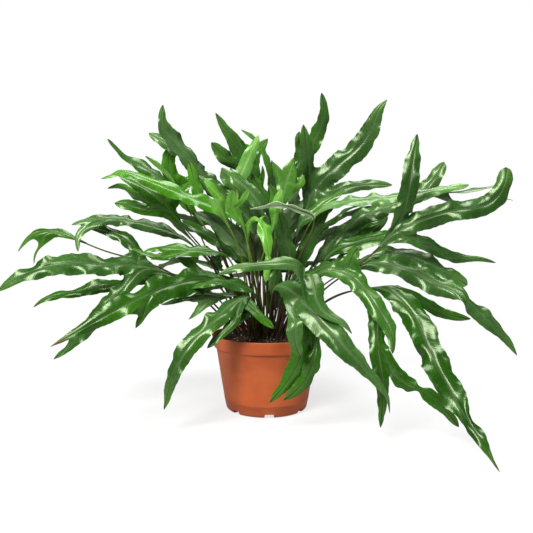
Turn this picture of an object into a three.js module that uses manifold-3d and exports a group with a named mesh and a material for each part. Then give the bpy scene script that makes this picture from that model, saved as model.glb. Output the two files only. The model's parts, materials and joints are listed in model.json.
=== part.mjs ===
// A kangaroo paw fern (Microsorum diversifolium) growing in a round plastic nursery pot.
// Millimetres, +Z up. The origin is the middle of the pot's flat underside and -Y is the front.
// Every frond is one leaf: a wiry stem that stands in its own hole in the soil and a thin, wavy
// blade that is either a plain strap or is cut into long lobes.
import * as THREE from "three";
import { mergeVertices } from "three/addons/utils/BufferGeometryUtils.js";
import Module from "manifold-3d";

const wasm = await Module();
wasm.setup();

// ---------------------------------------------------------------- driving dimensions

const POT_HEIGHT = 112;
const RIM_RADIUS = 82;
const RIM_ROUNDING = 1.2;
const LIP_HEIGHT = 18.5; // the collar under the rim
const LIP_TAPER = 3.6; // how much narrower the collar is at its lower edge
const LIP_STEP = 2.8; // from the collar's lower edge in to the wall
const FOOT_RADIUS = 61;
const FOOT_ROUNDING = 5;
const WALL_FOOT_RADIUS = 61.6; // where the wall's slope would meet the rounded foot's top
const WALL = 1.7;
const FLOOR_TOP = 7.5;
const RECESS_HEIGHT = 5.5; // the hollow under the floor, and the notches that open it
const RECESS_INNER = 22;
const RECESS_OUTER = 50;
const NOTCHES = 7;
const NOTCH_WIDTH = 14;
const FIRST_NOTCH_DEG = -86; // just to the right of the front
const DRAIN_RADIUS = 4;
const DRAIN_SIDES = 10;
const OVERCUT = 2; // how far a cut runs past the surface that it opens
const POT_SEGMENTS = 48;

const CLEARANCE = 0.3; // between pieces that touch
const SOIL_GAP = 0.5; // between the soil and the pot's wall
const SOIL_EDGE = 104; // height of the soil at the wall
const SOIL_CROWN = 110; // height of the soil in the middle
const SOIL_SEGMENTS = 32;
const SOIL_RINGS = [0.86, 0.62, 0.34]; // shares of the soil's radius
const HOLE_RADIUS = 2.1;
const HOLE_SIDES = 6;

const STEM_BURIED = 9;
const STEM_HALF_WIDTH = 1.3;
const STEM_HALF_DEPTH = 1.1;
const STEM_STEP = 42; // between the stem's sections
const STEM_ARCH = 0.13; // how far a stem bows upward, as a share of its length
const BLADE_STEP = 18; // between a blade's sections
const LEAST_STEPS = 3; // in a short lobe
const LEAST_STEPS_LOBED = 4;
const MARGIN_HALF = 0.34; // half the blade's thickness at its margin
const RIB_UP = 0.5; // how far the midrib stands above and below the sheet
const RIB_DOWN = 0.95;
const WAVE = 0.15; // height of the margin's waves, as a share of the blade's width
const SCALLOP = 0.1; // how much the margin swells in and out, as a share of the blade's width
const CUP = 0.1; // how far the margins hang below the midrib, as a share of the blade's width
const OPPOSED = 0.7; // the share of sections whose two margins wave opposite ways
const OPENS_OVER = 0.24; // the share of a blade's length over which it opens to its full width
const BLADE_FOOT = 0.12; // the share of its width that a blade has where the stem ends
const LOBE_FOOT = 0.8; // and a lobe where it leaves its blade
const TIP_POWER = 5; // a greater power keeps the blade wide nearer to its tip
const BLUNT = 11;
const TAPERED = 2.2;
const TAILED = 1.2;
const RIB_FADES = 6; // the half width under which the midrib sinks into the sheet
const TURN_KEPT = 0.35; // how much of its neighbour's turn each section keeps
const STEM_SILL = 3; // the stem stands upright to this height over the soil
const CURVE_DIVISIONS = 40; // between two points of a midrib
const FORK = [4, 8.5, 13]; // where a twin's foot spreads on the stem, up from the sill
const FORK_RISE = 9; // from there up to the elbow where the twin's own stem starts
const FORK_OUT = 5; // and how far aside from the first stem that elbow is

const CROWN_INNER = 7; // the stems rise between these distances from the pot's axis
const CROWN_OUTER = 46;
const CROWN_SPREAD = 1.15; // over 1, the outermost stems start before a frond lies level
const ROOT_SPACING = 8.5;
const ROOT_ROUNDS = 300; // of the roots pushing each other apart
const SPARE_GAP = 0.45; // the least air between two fronds

// How a frond may be moved until it is clear of the others, each with its price for a millimetre or
// a degree: the blade swung about the pot's axis, brought forward or back, lifted, or the stem bowed.
const MOVES = {
  swing: { price: 2.4, steps: [0, 4, -4, 8, -8] },
  depth: { price: 1, steps: [0, -6, 6, -12, 12, -18, 18, -26, 26] },
  lift: { price: 1.6, steps: [0, 5, -5, 10] },
  bow: { price: 0.7, steps: [0, 9, -9, 18, -18] },
};

const BACK_STEM = 70; // height of a far frond's blade over the soil
const BACK_FOOT = [22, 40]; // its least distance from the axis, and how much its lean adds
const BACK_SAG = [0.1, 0.5]; // how far its tip hangs, as shares of its reach, and what its lean adds
const BACK_SWAY = 0.16; // how far its tip swings aside, as a share of its reach
const BACK_LOBE_AT = [0.2, 0.13]; // where its first lobe leaves, and the step to the next
const BACK_LOBE_REACH = [0.46, 0.07, 0.08]; // share of the reach: the first lobe, less for each, drawn
const BACK_LOBE_WIDTH = 0.72;
const BACK_LOBE_OUT = 0.62; // how far a lobe's tip stands aside, as a share of the lobe

const COLOURS = {
  terracotta: 0xc8643a,
  peat: 0x2b1d15,
  old: 0x2f6b27,
  mid: 0x3f8033,
  young: 0x74b83a,
};

// ---------------------------------------------------------------- the fronds that show
// midrib: points from the foot of the blade to its tip. looks: the way the upper side faces.
// A lobe leaves the midrib at the share `at` of its blade, at 0 where the stem ends; power: how the
// tip narrows, where it isn't by TIP_POWER; stem: a point that the stem passes.
// A twin is a second frond that leaves the first one's stem just over the soil.

const FRONDS = [
  {
    name: "left_long",
    age: "old",
    width: 34,
    looks: [0, -9, 7],
    midrib: [[-168, -25, 212], [-212, -37, 217], [-290, -55, 218], [-340, -66, 204], [-372, -70, 182]],
    lobes: [
      { at: 0, width: 20, midrib: [[-187, -18, 234], [-208, -13, 255], [-238, -7, 266], [-268, -2, 273]] },
      {
        at: 0,
        width: 25,
        midrib: [[-189, -38, 202], [-213, -44, 176], [-240, -50, 147], [-268, -55, 113], [-300, -60, 85]],
      },
    ],
  },
  {
    name: "left_front",
    age: "old",
    width: 42,
    power: TAPERED,
    looks: [0, -10, 4],
    midrib: [[-47, -60, 192], [-97, -78, 199], [-148, -122, 187], [-207, -150, 157], [-262, -177, 126]],
    lobes: [{ at: 0.52, width: 10, midrib: [[-160, -128, 160], [-168, -132, 141]] }],
  },
  {
    name: "left_low",
    age: "old",
    width: 25,
    looks: [0, -7, 7],
    midrib: [[-101, 20, 187], [-176, 14, 196], [-256, 6, 180], [-334, 1, 163], [-350, 0, 151]],
    lobes: [],
  },
  {
    name: "left_arch",
    age: "old",
    width: 23,
    looks: [0, -7, 7],
    midrib: [[-120, 10, 252], [-188, 0, 277], [-250, -20, 283], [-282, -25, 274]],
    lobes: [{ at: 0.72, width: 11, midrib: [[-272, -32, 260], [-268, -42, 236]] }],
  },
  {
    name: "left_tip",
    age: "mid",
    width: 14,
    looks: [0, -8, 7],
    stem: [-244, -27, 238],
    midrib: [[-272, -30, 252], [-296, -32, 263], [-320, -34, 266], [-343, -35, 258], [-358, -37, 236]],
    lobes: [{ at: 0.34, width: 5, midrib: [[-318, -36, 250], [-333, -38, 238], [-335, -38, 218]] }],
  },
  {
    name: "left_level",
    age: "mid",
    width: 21,
    looks: [0, -5, 8],
    midrib: [[-54, -35, 231], [-107, -50, 238], [-160, -60, 243], [-178, -64, 230]],
    lobes: [{ at: 0.45, width: 13, midrib: [[-145, -70, 229], [-186, -78, 243]] }],
    twin: {
      width: 17,
      looks: [0, -7, 7],
      midrib: [[-86, -40, 201], [-97, -42, 213], [-111, -42, 221], [-127, -42, 228]],
    },
  },
  {
    name: "left_hand",
    age: "old",
    width: 27,
    looks: [0, -8, 7],
    midrib: [[-126, -34, 279], [-142, -41, 303], [-165, -48, 323], [-206, -56, 343]],
    lobes: [
      { at: 0.2, width: 21, midrib: [[-155, -47, 292], [-178, -51, 299], [-212, -55, 304]] },
      { at: 0.28, width: 15, midrib: [[-124, -26, 318], [-112, -18, 336]] },
    ],
  },
  {
    name: "left_curled",
    age: "mid",
    width: 17,
    looks: [0, -7, -7],
    midrib: [[-120, -5, 262], [-150, -14, 290], [-184, -22, 312], [-216, -26, 333], [-228, -30, 326]],
    lobes: [],
    twin: {
      width: 11,
      looks: [0, -7, 7],
      midrib: [[-134, 0, 334], [-146, 0, 350], [-160, 0, 364], [-177, -2, 374]],
    },
  },
  {
    name: "left_bright",
    age: "mid",
    width: 24,
    looks: [0, -7, 7],
    midrib: [[-30, -52, 278], [-72, -64, 298], [-144, -82, 327], [-190, -92, 344], [-218, -98, 334]],
    lobes: [],
  },
  {
    name: "upper_left_far",
    age: "old",
    width: 26,
    looks: [0, -6, 8],
    midrib: [[-112, 26, 294], [-156, 18, 342], [-203, 2, 371], [-230, -18, 398]],
    lobes: [],
  },
  {
    name: "upper_left_paddle",
    age: "mid",
    width: 22,
    power: BLUNT,
    looks: [0, -10, 1],
    midrib: [[-106, 10, 290], [-136, 5, 328], [-145, 0, 358], [-143, -5, 384], [-138, -12, 390]],
    lobes: [{ at: 0.3, width: 15, midrib: [[-112, 6, 342], [-100, 2, 360]] }],
    twin: {
      width: 20,
      looks: [2, -10, 2],
      midrib: [[-92, -20, 303], [-98, -20, 325], [-104, -21, 345], [-108, -24, 362]],
    },
  },
  {
    name: "upper_left_broad",
    age: "old",
    width: 29,
    looks: [2, -10, 4],
    midrib: [[-42, -6, 298], [-77, -20, 330], [-102, -30, 361], [-127, -38, 391], [-147, -45, 412],
      [-144, -48, 441]],
    lobes: [{ at: 0.42, width: 19, midrib: [[-140, -22, 388], [-170, -20, 406]] }],
  },
  {
    name: "top_left",
    age: "old",
    width: 23,
    looks: [0, -10, 2],
    midrib: [[-10, 5, 320], [-20, 2, 346], [-37, -5, 379], [-56, -10, 409], [-74, -14, 436]],
    lobes: [
      { at: 0.3, width: 22, midrib: [[-48, -8, 362], [-64, -12, 376], [-80, -18, 393]] },
      { at: 0.34, width: 14, midrib: [[-16, 12, 382], [2, 20, 404]] },
    ],
  },
  {
    name: "top_bright",
    age: "young",
    width: 20,
    looks: [0, -10, 1],
    midrib: [[-44, -30, 326], [-36, -34, 346], [-25, -37, 371], [-11, -40, 400]],
    lobes: [],
  },
  {
    name: "top_middle",
    age: "mid",
    width: 24,
    looks: [0, -10, 3],
    midrib: [[21, -26, 300], [25, -30, 324], [32, -33, 348], [39, -32, 370]],
    lobes: [{ at: 0.3, width: 14, midrib: [[44, -26, 332], [54, -24, 346]] }],
    twin: {
      width: 17,
      looks: [-2, -10, 2],
      midrib: [[26, -10, 317], [21, -10, 337], [15, -11, 355], [8, -12, 367]],
    },
  },
  {
    name: "upper_left_inner",
    age: "old",
    width: 27,
    looks: [0, -9, 5],
    midrib: [[-24, -18, 282], [-50, -24, 312], [-84, -30, 336], [-112, -36, 352]],
    lobes: [
      { at: 0.3, width: 21, midrib: [[-52, -20, 334], [-66, -20, 362]] },
      { at: 0.3, width: 20, midrib: [[-78, -30, 304], [-104, -36, 312]] },
    ],
    twin: {
      width: 22,
      looks: [0, -9, 5],
      midrib: [[-4, -50, 292], [-16, -52, 312], [-37, -50, 334], [-64, -48, 353]],
    },
  },
  {
    name: "top_thin",
    age: "mid",
    width: 13,
    looks: [6, -8, 3],
    midrib: [[6, 18, 335], [4, 14, 362], [-8, 9, 391], [-22, 4, 407], [-37, 0, 413]],
    lobes: [],
    twin: {
      width: 16,
      looks: [-6, -8, 2],
      midrib: [[-15, -5, 311], [-11, -5, 329], [-7, -6, 346], [-6, -8, 361]],
    },
  },
  {
    name: "top_right_tall",
    age: "old",
    width: 27,
    looks: [-2, -10, 2],
    midrib: [[3, 46, 320], [31, 42, 347], [66, 34, 393], [87, 22, 440], [82, 14, 471]],
    lobes: [{ at: 0.42, width: 9, midrib: [[48, 30, 402], [50, 28, 416]] }],
  },
  {
    name: "top_right_hand",
    age: "old",
    width: 33,
    looks: [0, -10, 3],
    midrib: [[58, -8, 295], [67, -12, 323], [87, -18, 347], [112, -23, 368], [140, -28, 394], [154, -34, 424],
      [159, -39, 443], [169, -41, 449]],
    lobes: [
      { at: 0.12, width: 19, midrib: [[60, -24, 362], [56, -30, 390], [52, -34, 416]] },
      { at: 0.16, width: 18, midrib: [[107, -28, 326], [142, -36, 332], [178, -42, 330]] },
    ],
  },
  {
    name: "right_spread",
    age: "mid",
    width: 27,
    looks: [0, -6, 8],
    midrib: [[69, -55, 291], [96, -64, 302], [129, -72, 308], [182, -82, 313], [225, -87, 321],
      [270, -90, 327]],
    lobes: [],
  },
  {
    name: "centre_pale",
    age: "mid",
    width: 12,
    looks: [0, 6, 8],
    midrib: [[70, -80, 286], [53, -82, 290], [33, -84, 299], [12, -85, 302], [-6, -86, 298], [-22, -87, 295]],
    lobes: [],
  },
  {
    name: "right_mid",
    age: "old",
    width: 29,
    power: BLUNT,
    looks: [0, -8, 7],
    midrib: [[72, -12, 220], [108, -20, 260], [136, -27, 284], [189, -37, 308], [226, -42, 325],
      [249, -46, 362]],
    lobes: [],
  },
  {
    name: "right_hand",
    age: "old",
    width: 28,
    power: BLUNT,
    looks: [0, -10, 5],
    stem: [126, -90, 219],
    midrib: [[160, -102, 256], [178, -108, 269], [203, -112, 281], [238, -118, 292], [274, -124, 296],
      [294, -128, 308], [303, -128, 329], [305, -124, 347]],
    lobes: [
      { at: 0, width: 22, midrib: [[179, -112, 291], [184, -113, 320], [188, -111, 349], [196, -105, 392]] },
      {
        at: 0,
        width: 22,
        power: TAPERED,
        midrib: [[188, -112, 259], [217, -112, 246], [244, -110, 231], [276, -111, 231], [300, -112, 224]],
      },
    ],
  },
  {
    name: "right_under",
    age: "old",
    width: 26,
    looks: [0, -8, 6],
    midrib: [[92, -56, 238], [118, -66, 248], [152, -76, 257], [190, -84, 262]],
    lobes: [],
    twin: {
      width: 25,
      looks: [0, -8, 6],
      midrib: [[118, 10, 233], [137, 10, 251], [161, 8, 269], [182, 6, 286]],
    },
  },
  {
    name: "right_far",
    age: "old",
    width: 19,
    looks: [0, -2, 9],
    midrib: [[150, 30, 288], [198, 26, 304], [249, 18, 319], [308, 10, 327], [362, 4, 337]],
    lobes: [{ at: 0.5, width: 14, midrib: [[292, 24, 308], [330, 16, 316], [370, 10, 311]] }],
  },
  {
    name: "right_wave",
    age: "old",
    width: 31,
    looks: [0, -8, 7],
    midrib: [[116, -84, 215], [141, -98, 224], [181, -115, 218], [220, -135, 198], [239, -144, 191],
      [268, -162, 161], [297, -173, 131], [306, -177, 114]],
    lobes: [
      {
        at: 0,
        width: 27,
        power: BLUNT,
        midrib: [[150, -94, 234], [176, -98, 236], [203, -104, 230], [230, -110, 216], [263, -119, 195]],
      },
    ],
  },
  {
    name: "right_cascade",
    age: "old",
    width: 31,
    looks: [-2, -10, 3],
    midrib: [[140, -118, 193], [163, -142, 186], [183, -165, 161], [191, -190, 131], [204, -216, 97],
      [217, -242, 67], [231, -268, 40], [242, -288, 17]],
    lobes: [
      {
        at: 0,
        width: 16,
        midrib: [[173, -138, 189], [191, -140, 181], [210, -142, 169], [229, -146, 160], [256, -150, 156]],
      },
    ],
  },
  {
    name: "right_hooked",
    age: "old",
    width: 26,
    looks: [0, -8, 6],
    midrib: [[76, -98, 212], [113, -112, 211], [134, -125, 192], [147, -138, 172], [160, -148, 151],
      [168, -157, 129], [165, -163, 117]],
    lobes: [{ at: 0.2, width: 13, midrib: [[117, -112, 230], [126, -112, 244]] }],
  },
  {
    name: "right_hanging",
    age: "old",
    width: 22,
    looks: [0, -10, 3],
    midrib: [[126, -98, 190], [142, -114, 174], [143, -124, 152], [141, -134, 127], [143, -143, 102],
      [146, -149, 76], [146, -152, 48], [144, -152, 18]],
    lobes: [
      { at: 0.5, width: 21, midrib: [[168, -153, 78], [192, -161, 70], [213, -168, 55], [234, -180, 28]] },
    ],
  },
  {
    name: "front_right_broad",
    age: "old",
    width: 38,
    power: TAPERED,
    looks: [-2, -9, 5],
    midrib: [[8, -96, 193], [33, -122, 190], [51, -150, 171], [85, -180, 137], [103, -190, 117],
      [134, -200, 84], [145, -202, 67], [145, -201, 52]],
    lobes: [
      { at: 0.2, width: 20, midrib: [[36, -164, 152], [34, -162, 130], [42, -156, 110]] },
    ],
  },
  {
    name: "front_fork",
    age: "old",
    width: 38,
    power: TAILED,
    looks: [0, -8, 6],
    midrib: [[52, -98, 214], [58, -114, 205], [59, -128, 188], [65, -138, 170], [82, -144, 160],
      [100, -146, 153], [104, -146, 141]],
    lobes: [
      { at: 0.22, width: 18, midrib: [[41, -128, 224], [11, -136, 227], [-36, -140, 222], [-59, -142, 213]] },
    ],
  },
  {
    name: "front_over_pot",
    age: "old",
    width: 26,
    looks: [0, -10, 2],
    midrib: [[46, -100, 180], [51, -122, 152], [47, -131, 112], [33, -130, 80], [4, -122, 41]],
    lobes: [
      { at: 0.3, width: 20, midrib: [[62, -138, 120], [58, -141, 95], [45, -138, 68], [22, -131, 47]] },
    ],
  },
  {
    name: "front_left_drooping",
    age: "old",
    width: 26,
    looks: [-3, -10, 4],
    midrib: [[-20, -68, 177], [-43, -85, 169], [-63, -100, 153], [-98, -118, 120], [-118, -127, 88],
      [-134, -125, 33]],
    lobes: [{ at: 0.12, width: 14, midrib: [[-38, -98, 150], [-54, -103, 135], [-79, -107, 110]] }],
    twin: {
      width: 16,
      looks: [0, -9, 4],
      midrib: [[-18, -78, 158], [-30, -82, 152], [-46, -84, 141], [-62, -85, 125]],
    },
  },
  {
    name: "front_small",
    age: "mid",
    width: 18,
    looks: [2, -8, 8],
    midrib: [[-36, -62, 174], [-28, -79, 168], [-11, -93, 154], [10, -98, 135]],
    lobes: [],
  },
  {
    name: "left_sliver",
    age: "mid",
    width: 18,
    looks: [0, -4, 9],
    midrib: [[-37, -42, 172], [-77, -68, 176], [-116, -86, 173], [-142, -95, 166]],
    lobes: [{ at: 0.4, width: 11, midrib: [[-94, -82, 157], [-106, -88, 145]] }],
  },
  {
    name: "lime_hanging",
    age: "young",
    width: 20,
    looks: [0, -10, 1],
    midrib: [[-2, -66, 272], [-5, -80, 286], [-5, -92, 276], [0, -99, 256], [3, -102, 230]],
    lobes: [],
    twin: {
      width: 11,
      looks: [0, -10, 1],
      stem: [-2, -62, 232],
      midrib: [[2, -76, 238], [2, -84, 223], [1, -86, 210], [-1, -87, 196]],
    },
  },
  {
    name: "lime_curled",
    age: "young",
    width: 18,
    looks: [0, -9, 4],
    stem: [-44, -64, 262],
    midrib: [[-58, -80, 284], [-63, -86, 297], [-71, -90, 308]],
    lobes: [],
    twin: {
      width: 15,
      looks: [0, -10, 2],
      midrib: [[6, -70, 272], [6, -71, 294], [9, -72, 312], [16, -74, 323]],
    },
  },
  {
    name: "lime_twisted",
    age: "young",
    width: 17,
    looks: [3, -9, 3],
    stem: [-26, -56, 244],
    midrib: [[-31, -66, 274], [-42, -70, 288], [-49, -75, 302], [-45, -80, 321]],
    lobes: [{ at: 0.4, width: 7, midrib: [[-36, -84, 302], [-23, -88, 322]] }],
  },
  {
    name: "lime_small",
    age: "young",
    width: 12,
    looks: [0, -8, 5],
    midrib: [[-24, -58, 258], [-20, -66, 276], [-11, -76, 286], [-2, -86, 278]],
    lobes: [],
    twin: {
      width: 15,
      looks: [0, -9, 4],
      midrib: [[-56, -60, 300], [-69, -62, 317], [-81, -62, 330], [-89, -60, 340]],
    },
  },
  {
    name: "centre_dark",
    age: "old",
    width: 25,
    looks: [-2, -10, 1],
    midrib: [[36, -40, 216], [28, -50, 243], [22, -56, 268], [16, -62, 294]],
    lobes: [],
  },
  {
    name: "centre_bent",
    age: "mid",
    width: 15,
    looks: [0, -10, 2],
    midrib: [[15, -46, 268], [10, -57, 296], [12, -62, 322], [1, -70, 331]],
    lobes: [],
    twin: {
      width: 18,
      looks: [0, 8, 6],
      midrib: [[24, -50, 180], [33, -52, 192], [43, -53, 204], [54, -54, 215]],
    },
  },
  {
    name: "centre_left",
    age: "old",
    width: 27,
    looks: [-3, 9, -4],
    midrib: [[-24, -34, 226], [-43, -44, 250], [-70, -52, 278], [-101, -58, 291]],
    lobes: [],
    twin: {
      width: 15,
      looks: [0, -10, 3],
      midrib: [[6, -60, 181], [9, -62, 192], [13, -64, 206], [19, -66, 217]],
    },
  },
  {
    name: "inner_left",
    age: "old",
    width: 22,
    looks: [0, -6, 8],
    midrib: [[-30, 0, 214], [-74, -8, 252], [-100, -12, 266], [-124, -15, 281]],
    lobes: [],
    twin: {
      width: 20,
      looks: [0, -10, 3],
      midrib: [[11, -20, 278], [2, -20, 304], [-11, -22, 328], [-22, -24, 348]],
    },
  },
  {
    name: "inner_low_left",
    age: "old",
    width: 24,
    looks: [0, -6, 8],
    midrib: [[-14, -30, 178], [-42, -44, 193], [-72, -56, 199], [-102, -63, 188]],
    lobes: [],
  },
  {
    name: "inner_low_right",
    age: "old",
    width: 21,
    looks: [0, -6, 8],
    midrib: [[40, -38, 192], [66, -46, 208], [92, -52, 220], [116, -57, 228]],
    lobes: [],
    twin: {
      width: 20,
      looks: [0, -8, 6],
      midrib: [[61, -10, 196], [82, -10, 208], [102, -10, 218], [121, -10, 227]],
    },
  },
  {
    name: "inner_right",
    age: "old",
    width: 22,
    looks: [0, -9, 4],
    midrib: [[46, -20, 212], [57, -27, 240], [72, -33, 274], [90, -38, 297]],
    lobes: [],
    twin: {
      width: 20,
      looks: [0, -7, 7],
      midrib: [[45, -40, 272], [64, -42, 292], [87, -42, 309], [111, -44, 323]],
    },
  },
  {
    name: "inner_far_right",
    age: "old",
    width: 26,
    looks: [0, -8, 6],
    midrib: [[98, 32, 228], [131, 38, 252], [170, 44, 279], [194, 48, 299]],
    lobes: [],
  },
];

// The fronds of the far side stand in a fan: bearing in degrees from +X, lean from upright in
// degrees at the foot of the blade, reach and width in millimetres. Three of them have a short low twin.
const BACK_FRONDS = [
  { bearing: 30, lean: 40, reach: 225, width: 27, lobes: 3 },
  { bearing: 46, lean: 66, reach: 225, width: 29, lobes: 3 },
  {
    bearing: 60,
    lean: 26,
    reach: 215,
    width: 26,
    lobes: 3,
    twin: {
      width: 24,
      looks: [0, -9, 4],
      midrib: [[34, 50, 134], [48, 54, 154], [66, 56, 174], [88, 56, 190]],
    },
  },
  { bearing: 74, lean: 54, reach: 245, width: 30, lobes: 4 },
  { bearing: 90, lean: 76, reach: 230, width: 28, lobes: 2 },
  {
    bearing: 98,
    lean: 34,
    reach: 225,
    width: 27,
    lobes: 4,
    twin: {
      width: 25,
      looks: [0, -9, 3],
      midrib: [[2, 54, 132], [10, 58, 154], [18, 60, 178], [20, 60, 204]],
    },
  },
  { bearing: 112, lean: 62, reach: 235, width: 29, lobes: 3 },
  {
    bearing: 130,
    lean: 42,
    reach: 225,
    width: 28,
    lobes: 4,
    twin: {
      width: 24,
      looks: [0, -9, 4],
      midrib: [[-26, 46, 134], [-38, 52, 156], [-54, 56, 178], [-74, 58, 196]],
    },
  },
  { bearing: 148, lean: 62, reach: 215, width: 27, lobes: 3 },
  { bearing: 120, lean: 18, reach: 190, width: 25, lobes: 2 },
  { bearing: 72, lean: 10, reach: 185, width: 24, lobes: 2 },
];

// ---------------------------------------------------------------- small helpers

const UP = new THREE.Vector3(0, 0, 1);
const vec = ([x, y, z]) => new THREE.Vector3(x, y, z);

// Repeatable draws between 0 and 1.
function seededDraws(seed) {
  let state = seed;
  return () => {
    state = (state * 16807) % 2147483647;
    return state / 2147483647;
  };
}

const between = (low, high, draw) => low + (high - low) * draw();

function solidOf(geometry) {
  const bare = geometry.index ? geometry.toNonIndexed() : geometry.clone();
  bare.deleteAttribute("normal");
  bare.deleteAttribute("uv");
  const merged = mergeVertices(bare, 1e-3);
  const vertProperties = new Float32Array(merged.attributes.position.array);
  const triVerts = new Uint32Array(merged.index.array);
  return new wasm.Manifold(new wasm.Mesh({ numProp: 3, vertProperties, triVerts }));
}

function geometryOf(solid) {
  const mesh = solid.getMesh();
  const places = new Float32Array(mesh.numVert * 3);
  for (let i = 0; i < mesh.numVert; i++) {
    const start = i * mesh.numProp;
    places.set(mesh.vertProperties.subarray(start, start + 3), i * 3);
  }
  const geometry = new THREE.BufferGeometry();
  geometry.setAttribute("position", new THREE.BufferAttribute(places, 3));
  geometry.setIndex(new THREE.BufferAttribute(mesh.triVerts, 1));
  return geometry;
}

// A profile of [radius, height] pairs turned round the Z axis.
function turned(profile, segments) {
  const points = profile.map(([r, z]) => new THREE.Vector2(r, z));
  return new THREE.LatheGeometry(points, segments).rotateX(Math.PI / 2);
}

function named(name, geometry, colour, roughness) {
  const material = new THREE.MeshStandardMaterial({
    color: colour,
    roughness,
    metalness: 0,
    side: THREE.DoubleSide,
  });
  const mesh = new THREE.Mesh(geometry, material);
  mesh.name = name;
  return mesh;
}

// ---------------------------------------------------------------- pot

const COLLAR_FOOT = POT_HEIGHT - LIP_HEIGHT;
const COLLAR_FOOT_RADIUS = RIM_RADIUS - LIP_TAPER;
const WALL_TOP_RADIUS = COLLAR_FOOT_RADIUS - LIP_STEP;

// Radius of the outside of the wall below the collar.
function wallRadius(z) {
  const share = (z - FOOT_ROUNDING) / (COLLAR_FOOT - FOOT_ROUNDING);
  return WALL_FOOT_RADIUS + (WALL_TOP_RADIUS - WALL_FOOT_RADIUS) * share;
}

// Radius of the inside of the pot.
function boreRadius(z) {
  if (z <= COLLAR_FOOT) return wallRadius(z) - WALL;
  const share = (z - COLLAR_FOOT) / LIP_HEIGHT;
  const low = wallRadius(COLLAR_FOOT) - WALL;
  return low + (RIM_RADIUS - RIM_ROUNDING - WALL - low) * share;
}

function potProfile() {
  const foot = [];
  for (const turn of [0, 0.33, 0.67, 1]) {
    const angle = (turn * Math.PI) / 2;
    foot.push([
      FOOT_RADIUS - FOOT_ROUNDING * (1 - Math.sin(angle)),
      FOOT_ROUNDING * (1 - Math.cos(angle)),
    ]);
  }
  return [
    [0, 0],
    ...foot,
    [WALL_TOP_RADIUS, COLLAR_FOOT],
    [COLLAR_FOOT_RADIUS, COLLAR_FOOT + 1],
    [RIM_RADIUS, POT_HEIGHT - RIM_ROUNDING],
    [RIM_RADIUS - RIM_ROUNDING, POT_HEIGHT],
    [RIM_RADIUS - RIM_ROUNDING - WALL, POT_HEIGHT],
    [boreRadius(COLLAR_FOOT), COLLAR_FOOT],
    [boreRadius(FLOOR_TOP), FLOOR_TOP],
    [0, FLOOR_TOP],
  ];
}

// The hollow under the floor: a ring, seven notches out through the foot and seven drain holes.
function potCuts() {
  const ring = turned(
    [
      [RECESS_INNER, -OVERCUT],
      [RECESS_OUTER, -OVERCUT],
      [RECESS_OUTER, RECESS_HEIGHT],
      [RECESS_INNER, RECESS_HEIGHT],
      [RECESS_INNER, -OVERCUT],
    ],
    NOTCHES * 4,
  );
  const cuts = [solidOf(ring)];
  const notchFrom = RECESS_OUTER - OVERCUT;
  const notchLength = FOOT_RADIUS + 2 * OVERCUT - notchFrom;
  const drainAt = (RECESS_INNER + RECESS_OUTER) / 2;
  for (let i = 0; i < NOTCHES; i++) {
    const bearing = THREE.MathUtils.degToRad(FIRST_NOTCH_DEG + (i * 360) / NOTCHES);
    const notch = new THREE.BoxGeometry(notchLength, NOTCH_WIDTH, RECESS_HEIGHT + OVERCUT);
    notch.translate(notchFrom + notchLength / 2, 0, (RECESS_HEIGHT - OVERCUT) / 2);
    cuts.push(solidOf(notch.rotateZ(bearing)));
    const drainLength = FLOOR_TOP + 2 * OVERCUT;
    const drain = new THREE.CylinderGeometry(DRAIN_RADIUS, DRAIN_RADIUS, drainLength, DRAIN_SIDES);
    drain.rotateX(Math.PI / 2);
    drain.translate(drainAt, 0, FLOOR_TOP / 2);
    cuts.push(solidOf(drain.rotateZ(bearing)));
  }
  return cuts;
}

function potSolid() {
  return potCuts().reduce((pot, cut) => pot.subtract(cut), solidOf(turned(potProfile(), POT_SEGMENTS)));
}

// ---------------------------------------------------------------- soil

const SOIL_RADIUS = boreRadius(SOIL_EDGE) - SOIL_GAP;

function soilHeight(radius) {
  const share = Math.min(radius / SOIL_RADIUS, 1);
  return SOIL_EDGE + (SOIL_CROWN - SOIL_EDGE) * (1 - share * share);
}

function soilSolid(roots) {
  const floor = FLOOR_TOP + CLEARANCE;
  const rings = SOIL_RINGS.map((share) => [share * SOIL_RADIUS, soilHeight(share * SOIL_RADIUS)]);
  const profile = [
    [0, floor],
    [boreRadius(floor) - SOIL_GAP, floor],
    [boreRadius(COLLAR_FOOT) - SOIL_GAP, COLLAR_FOOT],
    [SOIL_RADIUS, SOIL_EDGE],
    ...rings,
    [0, SOIL_CROWN],
  ];
  let soil = solidOf(turned(profile, SOIL_SEGMENTS));
  for (const root of roots) {
    const depth = STEM_BURIED + CLEARANCE;
    const length = depth + STEM_SILL;
    const hole = new THREE.CylinderGeometry(HOLE_RADIUS, HOLE_RADIUS, length, HOLE_SIDES);
    hole.rotateX(Math.PI / 2);
    hole.translate(root.x, root.y, root.z - depth + length / 2);
    soil = soil.subtract(solidOf(hole));
  }
  return soil;
}

// ---------------------------------------------------------------- a frond as a sheet with a midrib

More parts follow.
